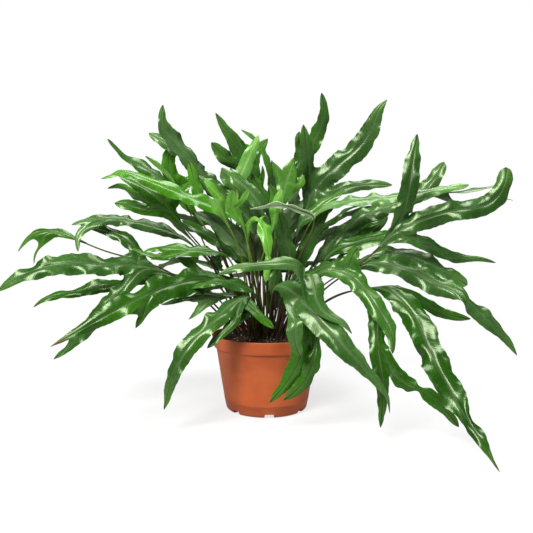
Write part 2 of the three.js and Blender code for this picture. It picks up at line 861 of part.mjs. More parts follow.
// The sheet is a set of rows [left, rib, right]. Each vertex holds its place and how far the two
// faces of the finished leaf lie from it.
class Sheet {
  places = [];
  above = [];
  below = [];
  faces = [];

  vertex(place, above, below) {
    this.above.push(above);
    this.below.push(below);
    return this.places.push(place) - 1;
  }

  join(from, to) {
    const [l0, c0, r0] = from;
    const [l1, c1, r1] = to;
    this.faces.push([c0, c1, l1], [c0, l1, l0], [r0, r1, c1], [r0, c1, c0]);
  }

  close(row, tip) {
    const [left, rib, right] = row;
    this.faces.push([rib, tip, left], [right, tip, rib]);
  }

  normals() {
    const sums = this.places.map(() => new THREE.Vector3());
    for (const [a, b, c] of this.faces) {
      const one = this.places[b].clone().sub(this.places[a]);
      const normal = one.cross(this.places[c].clone().sub(this.places[a]));
      for (const corner of [a, b, c]) sums[corner].add(normal);
    }
    return sums.map((sum) => sum.normalize());
  }

  // The closed leaf: an upper face, a lower face with the same diagonals, and the margin between.
  solidGeometry(spare) {
    const normals = this.normals();
    const count = this.places.length;
    const flat = [];
    const side = (sign, reach) =>
      this.places.forEach((place, i) => {
        flat.push(...place.clone().addScaledVector(normals[i], sign * (reach[i] + spare)).toArray());
      });
    side(1, this.above);
    side(-1, this.below);
    const edges = new Map();
    for (const [a, b, c] of this.faces) {
      for (const [from, to] of [[a, b], [b, c], [c, a]]) {
        const back = `${to},${from}`;
        if (edges.has(back)) edges.delete(back);
        else edges.set(`${from},${to}`, [from, to]);
      }
    }
    const index = [];
    for (const [a, b, c] of this.faces) index.push(a, b, c, count + c, count + b, count + a);
    for (const [from, to] of edges.values()) {
      index.push(to, from, count + from, to, count + from, count + to);
    }
    const geometry = new THREE.BufferGeometry();
    geometry.setAttribute("position", new THREE.Float32BufferAttribute(flat, 3));
    geometry.setIndex(index);
    return geometry;
  }
}

// The normal nearest to `looks` that is square to the way the midrib runs.
function squareTo(tangent, looks, previous) {
  const normal = looks.clone().addScaledVector(tangent, -looks.dot(tangent));
  if (previous) normal.addScaledVector(previous, TURN_KEPT);
  return normal.addScaledVector(tangent, -normal.dot(tangent)).normalize();
}

function smoothCurve(points) {
  const curve = new THREE.CatmullRomCurve3(points, false, "centripetal");
  curve.arcLengthDivisions = CURVE_DIVISIONS * points.length;
  return curve;
}

// Arc length from the curve's start to its control point number `index`.
function lengthTo(curve, index) {
  const spans = curve.points.length - 1;
  return curve.getLengths(CURVE_DIVISIONS * spans)[CURVE_DIVISIONS * index];
}

// Half the width of a blade or lobe at the share s of its length.
function halfWidth(part, s, footShare) {
  const foot = Math.min(s / OPENS_OVER, 1);
  const opening = footShare + (1 - footShare) * (1 - (1 - foot) ** 2);
  return (part.width / 2) * opening * (1 - s ** (part.power ?? TIP_POWER));
}

// One section of a blade: the rib, and the margins that wave above and below it.
function bladeRow(sheet, place, tangent, normal, half, draw, turn) {
  const across = normal.clone().cross(tangent);
  const margin = (side, sign) => {
    const swell = half * (1 + SCALLOP * sign * between(0.6, 1.4, draw));
    const wave = half * 2 * (WAVE * sign * between(0.5, 1.5, draw) - CUP);
    const point = place.clone().addScaledVector(across, side * swell).addScaledVector(normal, wave);
    return sheet.vertex(point, MARGIN_HALF, MARGIN_HALF);
  };
  const stout = Math.min(half / RIB_FADES, 1);
  const left = margin(1, turn);
  const rib = sheet.vertex(place.clone(), MARGIN_HALF + RIB_UP * stout, MARGIN_HALF + RIB_DOWN * stout);
  const right = margin(-1, draw() < OPPOSED ? -turn : turn);
  return [left, rib, right];
}

// A blade or a lobe: rows from `firstRow` along the curve to a pointed tip.
function addBlade(sheet, curve, start, firstRow, part, looks, footShare, draw) {
  const total = curve.getLength();
  const least = part.lobes?.length ? LEAST_STEPS_LOBED : LEAST_STEPS;
  const steps = Math.max(least, Math.round((total - start) / BLADE_STEP));
  const rows = [firstRow];
  const shares = [0];
  let normal = null;
  let turn = draw() < 0.5 ? 1 : -1;
  for (let i = 1; i < steps; i++) {
    const share = i / steps;
    const at = (start + (total - start) * share) / total;
    const tangent = curve.getTangentAt(at);
    normal = squareTo(tangent, looks, normal);
    const half = halfWidth(part, share, footShare);
    rows.push(bladeRow(sheet, curve.getPointAt(at), tangent, normal, half, draw, turn));
    shares.push(share);
    turn = -turn;
  }
  for (let i = 1; i < rows.length; i++) sheet.join(rows[i - 1], rows[i]);
  const tip = sheet.vertex(curve.getPointAt(1), MARGIN_HALF, MARGIN_HALF);
  sheet.close(rows.at(-1), tip);
  addLobes(sheet, part.lobes ?? [], rows, shares, looks, draw);
}

// Each lobe grows out of three neighbouring margin points of its blade.
function addLobes(sheet, lobes, rows, shares, looks, draw) {
  const [LEFT, RIB, RIGHT] = [0, 1, 2];
  const last = rows.length - 2;
  const taken = { [LEFT]: [], [RIGHT]: [] };
  for (const lobe of lobes) {
    const aim = vec(lobe.midrib[0]);
    const least = lobe.at > 0 ? 2 : 1;
    let row = THREE.MathUtils.clamp(shares.findIndex((share) => share >= lobe.at), least, last);
    const distance = (column) => sheet.places[rows[row][column]].distanceTo(aim);
    const column = distance(LEFT) < distance(RIGHT) ? LEFT : RIGHT;
    while (taken[column].some((other) => Math.abs(other - row) < 2) && row < last) row++;
    taken[column].push(row);
    const foot = [rows[row - 1][column], rows[row][column], rows[row + 1][column]];
    if (column === RIGHT) foot.reverse();
    const rib = sheet.places[rows[row][RIB]];
    const edge = sheet.places[rows[row][column]];
    const curve = smoothCurve([rib.clone(), ...lobe.midrib.map(vec)]);
    addBlade(sheet, curve, rib.distanceTo(edge), foot, lobe, looks, LOBE_FOOT, draw);
  }
}

function stemRow(sheet, place, tangent, normal) {
  const across = normal.clone().cross(tangent);
  const side = (sign) => place.clone().addScaledVector(across, sign * STEM_HALF_WIDTH);
  return [
    sheet.vertex(side(1), MARGIN_HALF, MARGIN_HALF),
    sheet.vertex(place.clone(), STEM_HALF_DEPTH, STEM_HALF_DEPTH),
    sheet.vertex(side(-1), MARGIN_HALF, MARGIN_HALF),
  ];
}

// A frond's midrib: from the last point of `lead` up an arched stem that bows aside, then the blade.
function wayOf(frond, lead, aside, bow) {
  const blade = frond.midrib.map(vec);
  const knee = frond.stem ? vec(frond.stem) : blade[0];
  const from = lead.at(-1);
  const middle = from.clone().lerp(knee, 0.5).addScaledVector(UP, STEM_ARCH * knee.distanceTo(from));
  const points = [...lead, middle.addScaledVector(aside, bow), ...(frond.stem ? [knee] : []), ...blade];
  const curve = smoothCurve(points);
  return { curve, bladeFrom: lengthTo(curve, points.length - blade.length) };
}

// Lengths along a stem, about STEM_STEP apart.
function stemLengths(from, to) {
  const steps = Math.max(2, Math.round((to - from) / STEM_STEP));
  return Array.from({ length: steps }, (_, i) => from + ((to - from) * (i + 1)) / steps);
}

// The stem's rows at `lengths`, the first joined to `row` where there is one, and the blade.
function growAlong(sheet, frond, way, lengths, row, normal, draw) {
  const looks = vec(frond.looks).normalize();
  const total = way.curve.getLength();
  const rows = [];
  for (const length of lengths) {
    const tangent = way.curve.getTangentAt(length / total);
    normal = squareTo(tangent, looks, normal);
    rows.push(stemRow(sheet, way.curve.getPointAt(length / total), tangent, normal));
    if (row) sheet.join(row, rows.at(-1));
    row = rows.at(-1);
  }
  addBlade(sheet, way.curve, way.bladeFrom, row, frond, looks, BLADE_FOOT, draw);
  return rows;
}

// A twin leaves by three margin points of the first stem, on the side nearer to its own blade. Its
// stem starts beside the first one, from the elbow.
function growTwin(sheet, way, rows, twin) {
  const [low, mid, high] = rows;
  const rib = sheet.places[mid[1]];
  const knee = vec(twin.frond.stem ?? twin.frond.midrib[0]);
  const column = sheet.places[mid[0]].distanceTo(knee) < sheet.places[mid[2]].distanceTo(knee) ? 0 : 2;
  const foot = [low[column], mid[column], high[column]];
  if (column === 2) foot.reverse();
  const out = sheet.places[mid[column]].clone().sub(rib).normalize();
  const beside = way.curve.getPointAt((FORK[1] + FORK_RISE) / way.curve.getLength());
  const lead = [rib.clone(), beside.addScaledVector(out, FORK_OUT)];
  const twinWay = wayOf(twin.frond, lead, out, twin.bow);
  const elbow = lengthTo(twinWay.curve, 1);
  const lengths = [elbow, ...stemLengths(elbow, twinWay.bladeFrom)];
  const onto = twin.alone ? new Sheet() : sheet;
  growAlong(onto, twin.frond, twinWay, lengths, twin.alone ? null : foot, null, twin.draw);
  return onto;
}

// The whole leaf, with its stem bowed sideways by `bow`, and its twin if one is given. A twin that is
// to stand alone is given back without the leaf that it grows from.
function frondSheet(frond, root, bow, draw, twin) {
  const sheet = new Sheet();
  const stemLooks = squareTo(UP, vec(frond.looks).normalize(), null);
  const foot = stemRow(sheet, root.clone().addScaledVector(UP, -STEM_BURIED), UP, stemLooks);
  const collar = stemRow(sheet, root.clone(), UP, stemLooks);
  sheet.join(foot, collar);
  const sill = root.clone().addScaledVector(UP, STEM_SILL);
  const way = wayOf(frond, [sill], new THREE.Vector3(-root.y, root.x, 0).normalize(), bow);
  const forks = frond.twin ? FORK : [];
  const lengths = [...forks, ...stemLengths(forks.at(-1) ?? 0, way.bladeFrom)];
  const rows = growAlong(sheet, frond, way, lengths, collar, stemLooks, draw);
  return twin ? growTwin(sheet, way, rows, twin) : sheet;
}

// ---------------------------------------------------------------- the far side's fronds, by rule

function backFrond(plan, number, draw) {
  const bearing = THREE.MathUtils.degToRad(plan.bearing);
  const lean = THREE.MathUtils.degToRad(plan.lean);
  const outward = new THREE.Vector3(Math.cos(bearing), Math.sin(bearing), 0);
  const aside = new THREE.Vector3(-outward.y, outward.x, 0);
  const level = Math.sin(lean);
  const upright = Math.cos(lean);
  const foot = new THREE.Vector3(0, 0, SOIL_CROWN + BACK_STEM * (1 + upright / 2));
  foot.addScaledVector(outward, BACK_FOOT[0] + BACK_FOOT[1] * level);
  const sag = plan.reach * (BACK_SAG[0] + BACK_SAG[1] * level ** 2);
  const sway = plan.reach * BACK_SWAY * between(-0.5, 0.5, draw);
  const along = (share) =>
    foot
      .clone()
      .addScaledVector(outward, plan.reach * share * level)
      .addScaledVector(UP, plan.reach * share * upright - sag * share ** 2.4)
      .addScaledVector(aside, sway * share ** 2);
  const lobeOf = (i) => {
    const at = BACK_LOBE_AT[0] + BACK_LOBE_AT[1] * i;
    const side = (i + number) % 2 ? 1 : -1;
    const reach = BACK_LOBE_REACH[0] - BACK_LOBE_REACH[1] * i + BACK_LOBE_REACH[2] * draw();
    const way = (share) =>
      along(at + share * reach * (1 - BACK_LOBE_OUT / 2))
        .addScaledVector(aside, side * (plan.width / 3 + plan.reach * reach * BACK_LOBE_OUT * share))
        .toArray();
    return { at, width: plan.width * BACK_LOBE_WIDTH, midrib: [way(0.45), way(1)] };
  };
  return {
    name: `back_${number + 1}`,
    age: "old",
    width: plan.width,
    looks: outward.clone().multiplyScalar(upright).addScaledVector(UP, 0.5 + level).toArray(),
    midrib: [0, 0.3, 0.65, 1].map((share) => along(share).toArray()),
    lobes: Array.from({ length: plan.lobes }, (_, i) => lobeOf(i)),
    twin: plan.twin,
  };
}

// ---------------------------------------------------------------- where the stems rise

// Low fronds rise far out from the axis and upright ones near it, each on its own side; then the
// roots push each other apart.
function rootsOf(fronds) {
  const roots = fronds.map((frond) => {
    const [x, y, z] = frond.midrib[0];
    const out = Math.hypot(x, y);
    const lean = Math.atan2(out, z - SOIL_CROWN) / (Math.PI / 2);
    const radius = CROWN_INNER + (CROWN_OUTER - CROWN_INNER) * Math.min(lean * CROWN_SPREAD, 1);
    return new THREE.Vector2((x / out) * radius, (y / out) * radius);
  });
  for (let round = 0; round < ROOT_ROUNDS; round++) {
    for (let i = 0; i < roots.length; i++) {
      for (let j = i + 1; j < roots.length; j++) {
        const apart = roots[j].clone().sub(roots[i]);
        const distance = apart.length();
        if (distance >= ROOT_SPACING) continue;
        const push = apart.normalize().multiplyScalar((ROOT_SPACING - distance) / 2);
        roots[i].sub(push);
        roots[j].add(push);
      }
    }
  }
  return roots.map((root) => new THREE.Vector3(root.x, root.y, soilHeight(root.length())));
}

// ---------------------------------------------------------------- placing the fronds clear of each other

// Every mix of the moves, the cheapest first.
function movesToTry() {
  const moves = [];
  const tries = Object.entries(MOVES);
  const add = (move, cost, index) => {
    if (index === tries.length) {
      moves.push({ ...move, cost });
      return;
    }
    const [kind, { price, steps }] = tries[index];
    for (const step of steps) add({ ...move, [kind]: step }, cost + price * Math.abs(step), index + 1);
  };
  add({}, 0, 0);
  return moves.sort((a, b) => a.cost - b.cost);
}

// The frond with every point of its blade and lobes moved.
function movedFrond(frond, move) {
  const shift = new THREE.Vector3(0, move.depth, move.lift);
  const swing = THREE.MathUtils.degToRad(move.swing);
  const place = (point) => vec(point).applyAxisAngle(UP, swing).add(shift).toArray();
  const withPlaces = (part) => ({
    ...part,
    midrib: part.midrib.map(place),
    lobes: (part.lobes ?? []).map(withPlaces),
  });
  return { ...withPlaces(frond), stem: frond.stem && place(frond.stem) };
}

const clearOf = (solid, others) => others.every((other) => solid.intersect(other).isEmpty());
const grown = (sheet) => solidOf(sheet.solidGeometry(SPARE_GAP));
const built = (sheet) => solidOf(sheet.solidGeometry(0));

// The first fronds take their places one after another, then the twins among them.
function placeFronds(fronds, roots, fixed) {
  const moves = movesToTry();
  const choose = (name, isClear) => {
    const move = moves.find(isClear);
    if (!move) console.warn(`no clear place for ${name}`);
    return move ?? moves[0];
  };
  const solids = [];
  const makers = fronds.map((frond, i) => {
    const sheetFor = (move, twin) =>
      frondSheet(movedFrond(frond, move), roots[i], move.bow, seededDraws(101 + 37 * i), twin);
    const standing = [...fixed, ...solids];
    const move = choose(frond.name, (each) => clearOf(grown(sheetFor(each)), standing));
    solids.push(built(sheetFor(move)));
    return (twin) => sheetFor(move, twin);
  });
  return fronds.map((frond, i) => {
    let sheet = makers[i]();
    if (frond.twin) {
      const others = [...fixed, ...solids.filter((_, j) => j !== i)];
      const withTwin = (move, alone) =>
        makers[i]({
          frond: movedFrond(frond.twin, move),
          bow: move.bow,
          draw: seededDraws(607 + 37 * i),
          alone,
        });
      const isClear = (each) =>
        clearOf(grown(withTwin(each, true)), [...others, solids[i]]) &&
        clearOf(grown(withTwin(each, false)), others);
      sheet = withTwin(choose(`the twin of ${frond.name}`, isClear), false);
      solids[i] = built(sheet);
    }
    return named(`frond_${frond.name}`, sheet.solidGeometry(0), COLOURS[frond.age], 0.35);
  });
}

// ---------------------------------------------------------------- the plant in its pot

const backDraw = seededDraws(7);
const allFronds = [...FRONDS, ...BACK_FRONDS.map((plan, i) => backFrond(plan, i, backDraw))];
const roots = rootsOf(allFronds);
const pot = potSolid();
const soil = soilSolid(roots);

const fern = new THREE.Group();
fern.add(named("pot", geometryOf(pot), COLOURS.terracotta, 0.45));
fern.add(named("soil", geometryOf(soil), COLOURS.peat, 0.95));
for (const frond of placeFronds(allFronds, roots, [pot, soil])) fern.add(frond);

export default fern;
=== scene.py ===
"""A kangaroo paw fern in a round nursery pot: the finish of every frond, the pot and the soil.

Each frond is made from its solid: the upper face of the blade is smoothed, ruffled along its
margins and puffed between its side veins, then given its thickness, and a round stalk runs up
from the soil and on under the blade as its midrib. Metres, +Z up, -Y the front.
"""
import json
import math
import random

import bmesh
import bpy
import numpy as np
from mathutils import Euler, Matrix, Vector


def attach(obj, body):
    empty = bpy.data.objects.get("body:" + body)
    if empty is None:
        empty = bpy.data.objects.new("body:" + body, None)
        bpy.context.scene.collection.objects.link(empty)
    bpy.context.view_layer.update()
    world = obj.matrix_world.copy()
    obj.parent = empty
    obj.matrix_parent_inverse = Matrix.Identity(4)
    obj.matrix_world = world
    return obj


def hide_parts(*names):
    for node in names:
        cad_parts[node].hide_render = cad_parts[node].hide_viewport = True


MM = 0.001
TINY = 1e-9  # metres that make no difference
NEVER_ZERO = 1e-6  # metres that a length has at least where it divides
SHARP = math.radians(50)  # edges that turn more than this count as sharp

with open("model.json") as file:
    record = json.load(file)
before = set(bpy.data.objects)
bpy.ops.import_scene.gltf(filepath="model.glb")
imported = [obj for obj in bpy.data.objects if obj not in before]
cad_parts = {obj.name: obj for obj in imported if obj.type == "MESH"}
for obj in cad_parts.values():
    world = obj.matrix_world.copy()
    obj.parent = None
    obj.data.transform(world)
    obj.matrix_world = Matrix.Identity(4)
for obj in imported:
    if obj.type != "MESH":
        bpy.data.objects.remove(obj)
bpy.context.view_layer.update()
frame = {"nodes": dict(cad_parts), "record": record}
nodes = frame["nodes"]
slot_of = {row["node"]: row["material_slot"] for row in frame["record"]["subparts"]}

# ---------------------------------------------------------------- pieces


def link(name, data):
    """A new object of the scene, with data as its mesh, curve, light or camera."""
    piece = bpy.data.objects.new(name, data)
    bpy.context.scene.collection.objects.link(piece)
    return piece


def only(piece):
    """piece is the only thing selected."""
    bpy.ops.object.select_all(action="DESELECT")
    piece.select_set(True)
    bpy.context.view_layer.objects.active = piece


def primitive(name, add, location=(0, 0, 0), **settings):
    """A new piece by add, one of the operators that add a mesh."""
    bpy.ops.object.select_all(action="DESELECT")
    add(location=location, **settings)
    piece = bpy.context.view_layer.objects.active
    piece.name = name
    return piece


def apply_modifier(piece, kind, **settings):
    only(piece)
    modifier = piece.modifiers.new(kind.lower(), kind)
    for name, value in settings.items():
        setattr(modifier, name, value)
    bpy.ops.object.modifier_apply(modifier=modifier.name)


def of_vertices(mesh, what):
    flat = np.zeros(len(mesh.vertices) * 3)
    mesh.vertices.foreach_get(what, flat)
    return flat.reshape(-1, 3)


def points_of(mesh):
    return of_vertices(mesh, "co")


def normals_of(mesh):
    return of_vertices(mesh, "normal")


def set_points(mesh, points):
    mesh.vertices.foreach_set("co", points.astype(np.float32).ravel())
    mesh.update()


def set_attributes(mesh, **values):
    """Each value is one number for the whole mesh, or one for each vertex."""
    for name, numbers in values.items():
        attribute = mesh.attributes.get(name) or mesh.attributes.new(name, "FLOAT", "POINT")
        attribute.data.foreach_set("value", np.broadcast_to(numbers, len(mesh.vertices)).astype(np.float32))


# ---------------------------------------------------------------- shader helpers


class Tree:
    """A node tree with short ways to add and join nodes."""

    def __init__(self, tree):
        self.tree = tree

    def add(self, kind, settings=None, **inputs):
        node = self.tree.nodes.new(kind)
        for name, value in (settings or {}).items():
            setattr(node, name, value)
        for name, value in inputs.items():
            self.set(node.inputs[name.replace("_", " ")], value)
        return node

    def set(self, socket, value):
        if isinstance(value, bpy.types.NodeSocket):
            self.tree.links.new(value, socket)
        elif socket.type == "RGBA" and len(value) == 3:
            socket.default_value = (*value, 1)
        else:
            socket.default_value = value

    def math(self, operation, *values):
        node = self.add("ShaderNodeMath", {"operation": operation})
        for socket, value in zip(node.inputs, values):
            self.set(socket, value)
        return node.outputs[0]

    def times(self, value, factor):
        return self.math("MULTIPLY", value, factor)

    def plus(self, value, other, factor):
        """value and factor times other."""
        return self.math("MULTIPLY_ADD", other, factor, value)

    def ramp(self, value, low, high, to_low=0.0, to_high=1.0):
        """value between low and high, smoothed to between to_low and to_high."""
        ends = {"From_Min": low, "From_Max": high, "To_Min": to_low, "To_Max": to_high}
        node = self.add("ShaderNodeMapRange", {"interpolation_type": "SMOOTHSTEP"}, Value=value, **ends)
        return node.outputs[0]

    def blend(self, share, one, other, kind="MIX"):
        settings = {"data_type": "RGBA", "blend_type": kind, "clamp_factor": True}
        return self.add("ShaderNodeMix", settings, Factor=share, A=one, B=other).outputs["Result"]

    def noise(self, vector, scale, detail=3.0, roughness=0.5):
        inputs = {"Vector": vector, "Scale": scale, "Detail": detail, "Roughness": roughness}
        return self.add("ShaderNodeTexNoise", **inputs).outputs["Fac"]

    def attribute(self, name):
        return self.add("ShaderNodeAttribute", {"attribute_name": name}).outputs["Fac"]

    def place(self):
        return self.add("ShaderNodeTexCoord").outputs["Object"]


def new_group(name, inputs, outputs):
    """A shader node group with named sockets: {name: (kind, default)} in, {name: kind} out."""
    group = bpy.data.node_groups.new(name, "ShaderNodeTree")
    for socket, (kind, default) in inputs.items():
        made = group.interface.new_socket(socket, in_out="INPUT", socket_type=f"NodeSocket{kind}")
        made.default_value = (*default, 1) if kind == "Color" else default
    for socket, kind in outputs.items():
        group.interface.new_socket(socket, in_out="OUTPUT", socket_type=f"NodeSocket{kind}")
    tree = Tree(group)
    taken = tree.add("NodeGroupInput")
    given = tree.add("NodeGroupOutput")
    return group, tree, taken.outputs, given.inputs


def new_material(name):
    material = bpy.data.materials.new(name)
    material.use_nodes = True
    return material, Tree(material.node_tree), material.node_tree.nodes["Principled BSDF"]


def use_group(tree, group, **values):
    return tree.add("ShaderNodeGroup", {"node_tree": group}, **values).outputs


def bump(tree, shader, height, strength, distance):
    node = tree.add("ShaderNodeBump", Strength=strength, Distance=distance, Height=height)
    tree.set(shader.inputs["Normal"], node.outputs["Normal"])


# ---------------------------------------------------------------- camera, floor and light

CAMERA_PLACE = (0.0, -0.895, 0.270)
CAMERA_PITCH = 3.7  # degrees down
FRAME_PIXELS = 533
FOCAL_PIXELS = 600
SENSOR = 36.0
LIGHTS_AIM = (0, 0, 0.2)
SOFTBOXES = {  # the place, the width and height, the power in watts
    "key": ((-0.85, -1.4, 1.6), (0.85, 0.85), 62),
    "top": ((0.3, 0.2, 1.9), (1.2, 0.9), 34),
    "fill": ((1.7, -1.2, 0.9), (0.9, 1.3), 4),
}
ROOM_LIGHT = 0.085  # the white room's light on the plant
ROOM_GLINT = 0.02  # and as its gloss mirrors it
FLOOR_LIT = (0.2, 1.1)  # metres from the pot between which the floor turns into the white room
FLOOR_GLOW = 0.7  # how much of its white is its own right under the pot
FLOOR_BOUNCE = 0.4  # and how much of that white reaches the plant


def add_camera():
    data = bpy.data.cameras.new("camera")
    data.sensor_width = SENSOR
    data.lens = SENSOR * FOCAL_PIXELS / FRAME_PIXELS
    camera = link("camera", data)
    camera.location = CAMERA_PLACE
    camera.rotation_euler = (math.radians(90 - CAMERA_PITCH), 0, 0)
    bpy.context.scene.camera = camera


def add_softbox(name, place, size, power):
    data = bpy.data.lights.new(name, "AREA")
    data.shape = "RECTANGLE"
    data.size, data.size_y = size
    data.energy = power
    light = link(name, data)
    light.location = place
    light.rotation_euler = (Vector(LIGHTS_AIM) - Vector(place)).to_track_quat("-Z", "Y").to_euler()


def add_studio():
    """White all round, with softboxes to the front left, overhead and, weakly, to the right."""
    world = bpy.data.worlds.new("studio")
    bpy.context.scene.world = world
    world.use_nodes = True
    world.node_tree.nodes.clear()
    tree = Tree(world.node_tree)
    path = tree.add("ShaderNodeLightPath")
    missed = tree.times(path.outputs["Is Glossy Ray"], ROOM_LIGHT - ROOM_GLINT)
    lit = tree.math("SUBTRACT", ROOM_LIGHT, missed)
    shown = tree.math("MAXIMUM", lit, path.outputs["Is Camera Ray"])
    background = tree.add("ShaderNodeBackground", Color=(1, 1, 1), Strength=shown)
    tree.add("ShaderNodeOutputWorld", Surface=background.outputs[0])
    for name, (place, size, power) in SOFTBOXES.items():
        add_softbox(name, place, size, power)
    bpy.context.scene.view_settings.view_transform = "Standard"


def add_floor():
    """White and softly shaded round the pot, and nothing but white further off."""
    floor = primitive("floor", bpy.ops.mesh.primitive_plane_add, size=8)
    material, tree, shader = new_material("floor")
    place = tree.place()
    soft = tree.noise(place, 3.0, 2.0)
    tree.set(shader.inputs["Base Color"], tree.blend(soft, (0.92, 0.92, 0.92), (0.94, 0.94, 0.94)))
    shader.inputs["Roughness"].default_value = 0.9
    shader.inputs["Specular IOR Level"].default_value = 0.1
    away = tree.add("ShaderNodeVectorMath", {"operation": "LENGTH"}, Vector=place).outputs["Value"]
    far = tree.ramp(away, *FLOOR_LIT, FLOOR_GLOW, 1.0)
    path = tree.add("ShaderNodeLightPath")
    glow = tree.math("MAXIMUM", path.outputs["Is Camera Ray"], FLOOR_BOUNCE)
    white = tree.add("ShaderNodeEmission", Color=(1, 1, 1), Strength=glow)
    mix = tree.add("ShaderNodeMixShader", Fac=far)
    tree.set(mix.inputs[1], shader.outputs[0])
    tree.set(mix.inputs[2], white.outputs[0])
    tree.set(material.node_tree.nodes["Material Output"].inputs["Surface"], mix.outputs[0])
    floor.data.materials.append(material)


# ---------------------------------------------------------------- leaf finishes

VEIN_SPACING = 7.5 * MM  # between two side veins, along the midrib
VEIN_SLANT = 0.9  # how far a side vein runs forward for each length that it goes outward
BURNT_BROWN = (0.12, 0.045, 0.012)
LEAF_GREENS = {  # old and dark, grown and clear, young and lime
    "mature_leaf": {
        "Deep": (0.0075, 0.046, 0.0016),
        "Clear": (0.032, 0.135, 0.005),
        "Tip": (0.055, 0.2, 0.006),
        "Under": (0.1, 0.19, 0.07),
        "Rib": (0.012, 0.016, 0.005),
        "Pale_rib": (0.17, 0.29, 0.1),
        "Gloss": 0.21,
    },
    "leaf": {
        "Deep": (0.018, 0.09, 0.003),
        "Clear": (0.06, 0.24, 0.008),
        "Tip": (0.1, 0.34, 0.012),
        "Under": (0.13, 0.26, 0.08),
        "Rib": (0.025, 0.045, 0.008),
        "Pale_rib": (0.22, 0.38, 0.12),
        "Stalk_top": (0.09, 0.12, 0.025),
        "Gloss": 0.23,
    },
    "new_leaf": {
        "Deep": (0.045, 0.19, 0.008),
        "Clear": (0.12, 0.39, 0.025),
        "Tip": (0.17, 0.46, 0.05),
        "Under": (0.22, 0.42, 0.1),
        "Rib": (0.07, 0.19, 0.008),
        "Pale_rib": (0.34, 0.56, 0.15),
        "Stalk_foot": (0.06, 0.06, 0.01),
        "Stalk_top": (0.17, 0.36, 0.03),
        "Gloss": 0.24,
    },
}


def vein_group():
    """Side veins that leave the midrib slanting forward, and the net of fine veins between them."""
    group, tree, taken, given = new_group(
        "side veins",
        {"Spacing": ("Float", VEIN_SPACING), "Slant": ("Float", VEIN_SLANT)},
        {"Vein": "Float", "Net": "Float"},
    )
    place = tree.place()
    along = tree.attribute("along")
    across = tree.attribute("across")
    run = tree.math("SUBTRACT", along, tree.times(across, taken["Slant"]))
    turn = tree.plus(tree.math("DIVIDE", run, taken["Spacing"]), tree.noise(place, 60.0, 2.0), 0.9)
    off = tree.math("ABSOLUTE", tree.math("SUBTRACT", tree.math("FRACT", turn), 0.5))
    tree.set(given["Vein"], tree.ramp(off, 0.36, 0.5))
    cells = tree.add("ShaderNodeTexVoronoi", {"feature": "DISTANCE_TO_EDGE"}, Vector=place, Scale=330.0)
    tree.set(given["Net"], tree.ramp(cells.outputs["Distance"], 0.0, 0.16, 1.0, 0.0))
    return group


def patch_group():
    """Broad and fine unevenness of a living leaf's colour, and its few pale specks."""
    group, tree, taken, given = new_group(
        "leaf mottling",
        {"Broad": ("Float", 22.0), "Fine": ("Float", 260.0)},
        {"Patch": "Float", "Grain": "Float", "Speck": "Float"},
    )
    place = tree.place()
    dots = tree.add("ShaderNodeTexVoronoi", Vector=place, Scale=210.0)
    near = tree.ramp(dots.outputs["Distance"], 0.05, 0.13, 1.0, 0.0)
    few = tree.ramp(tree.noise(place, 34.0, 1.0), 0.58, 0.64)
    tree.set(given["Patch"], tree.ramp(tree.noise(place, taken["Broad"]), 0.32, 0.68))
    tree.set(given["Grain"], tree.noise(place, taken["Fine"], 2.0))
    tree.set(given["Speck"], tree.times(near, few))
    return group


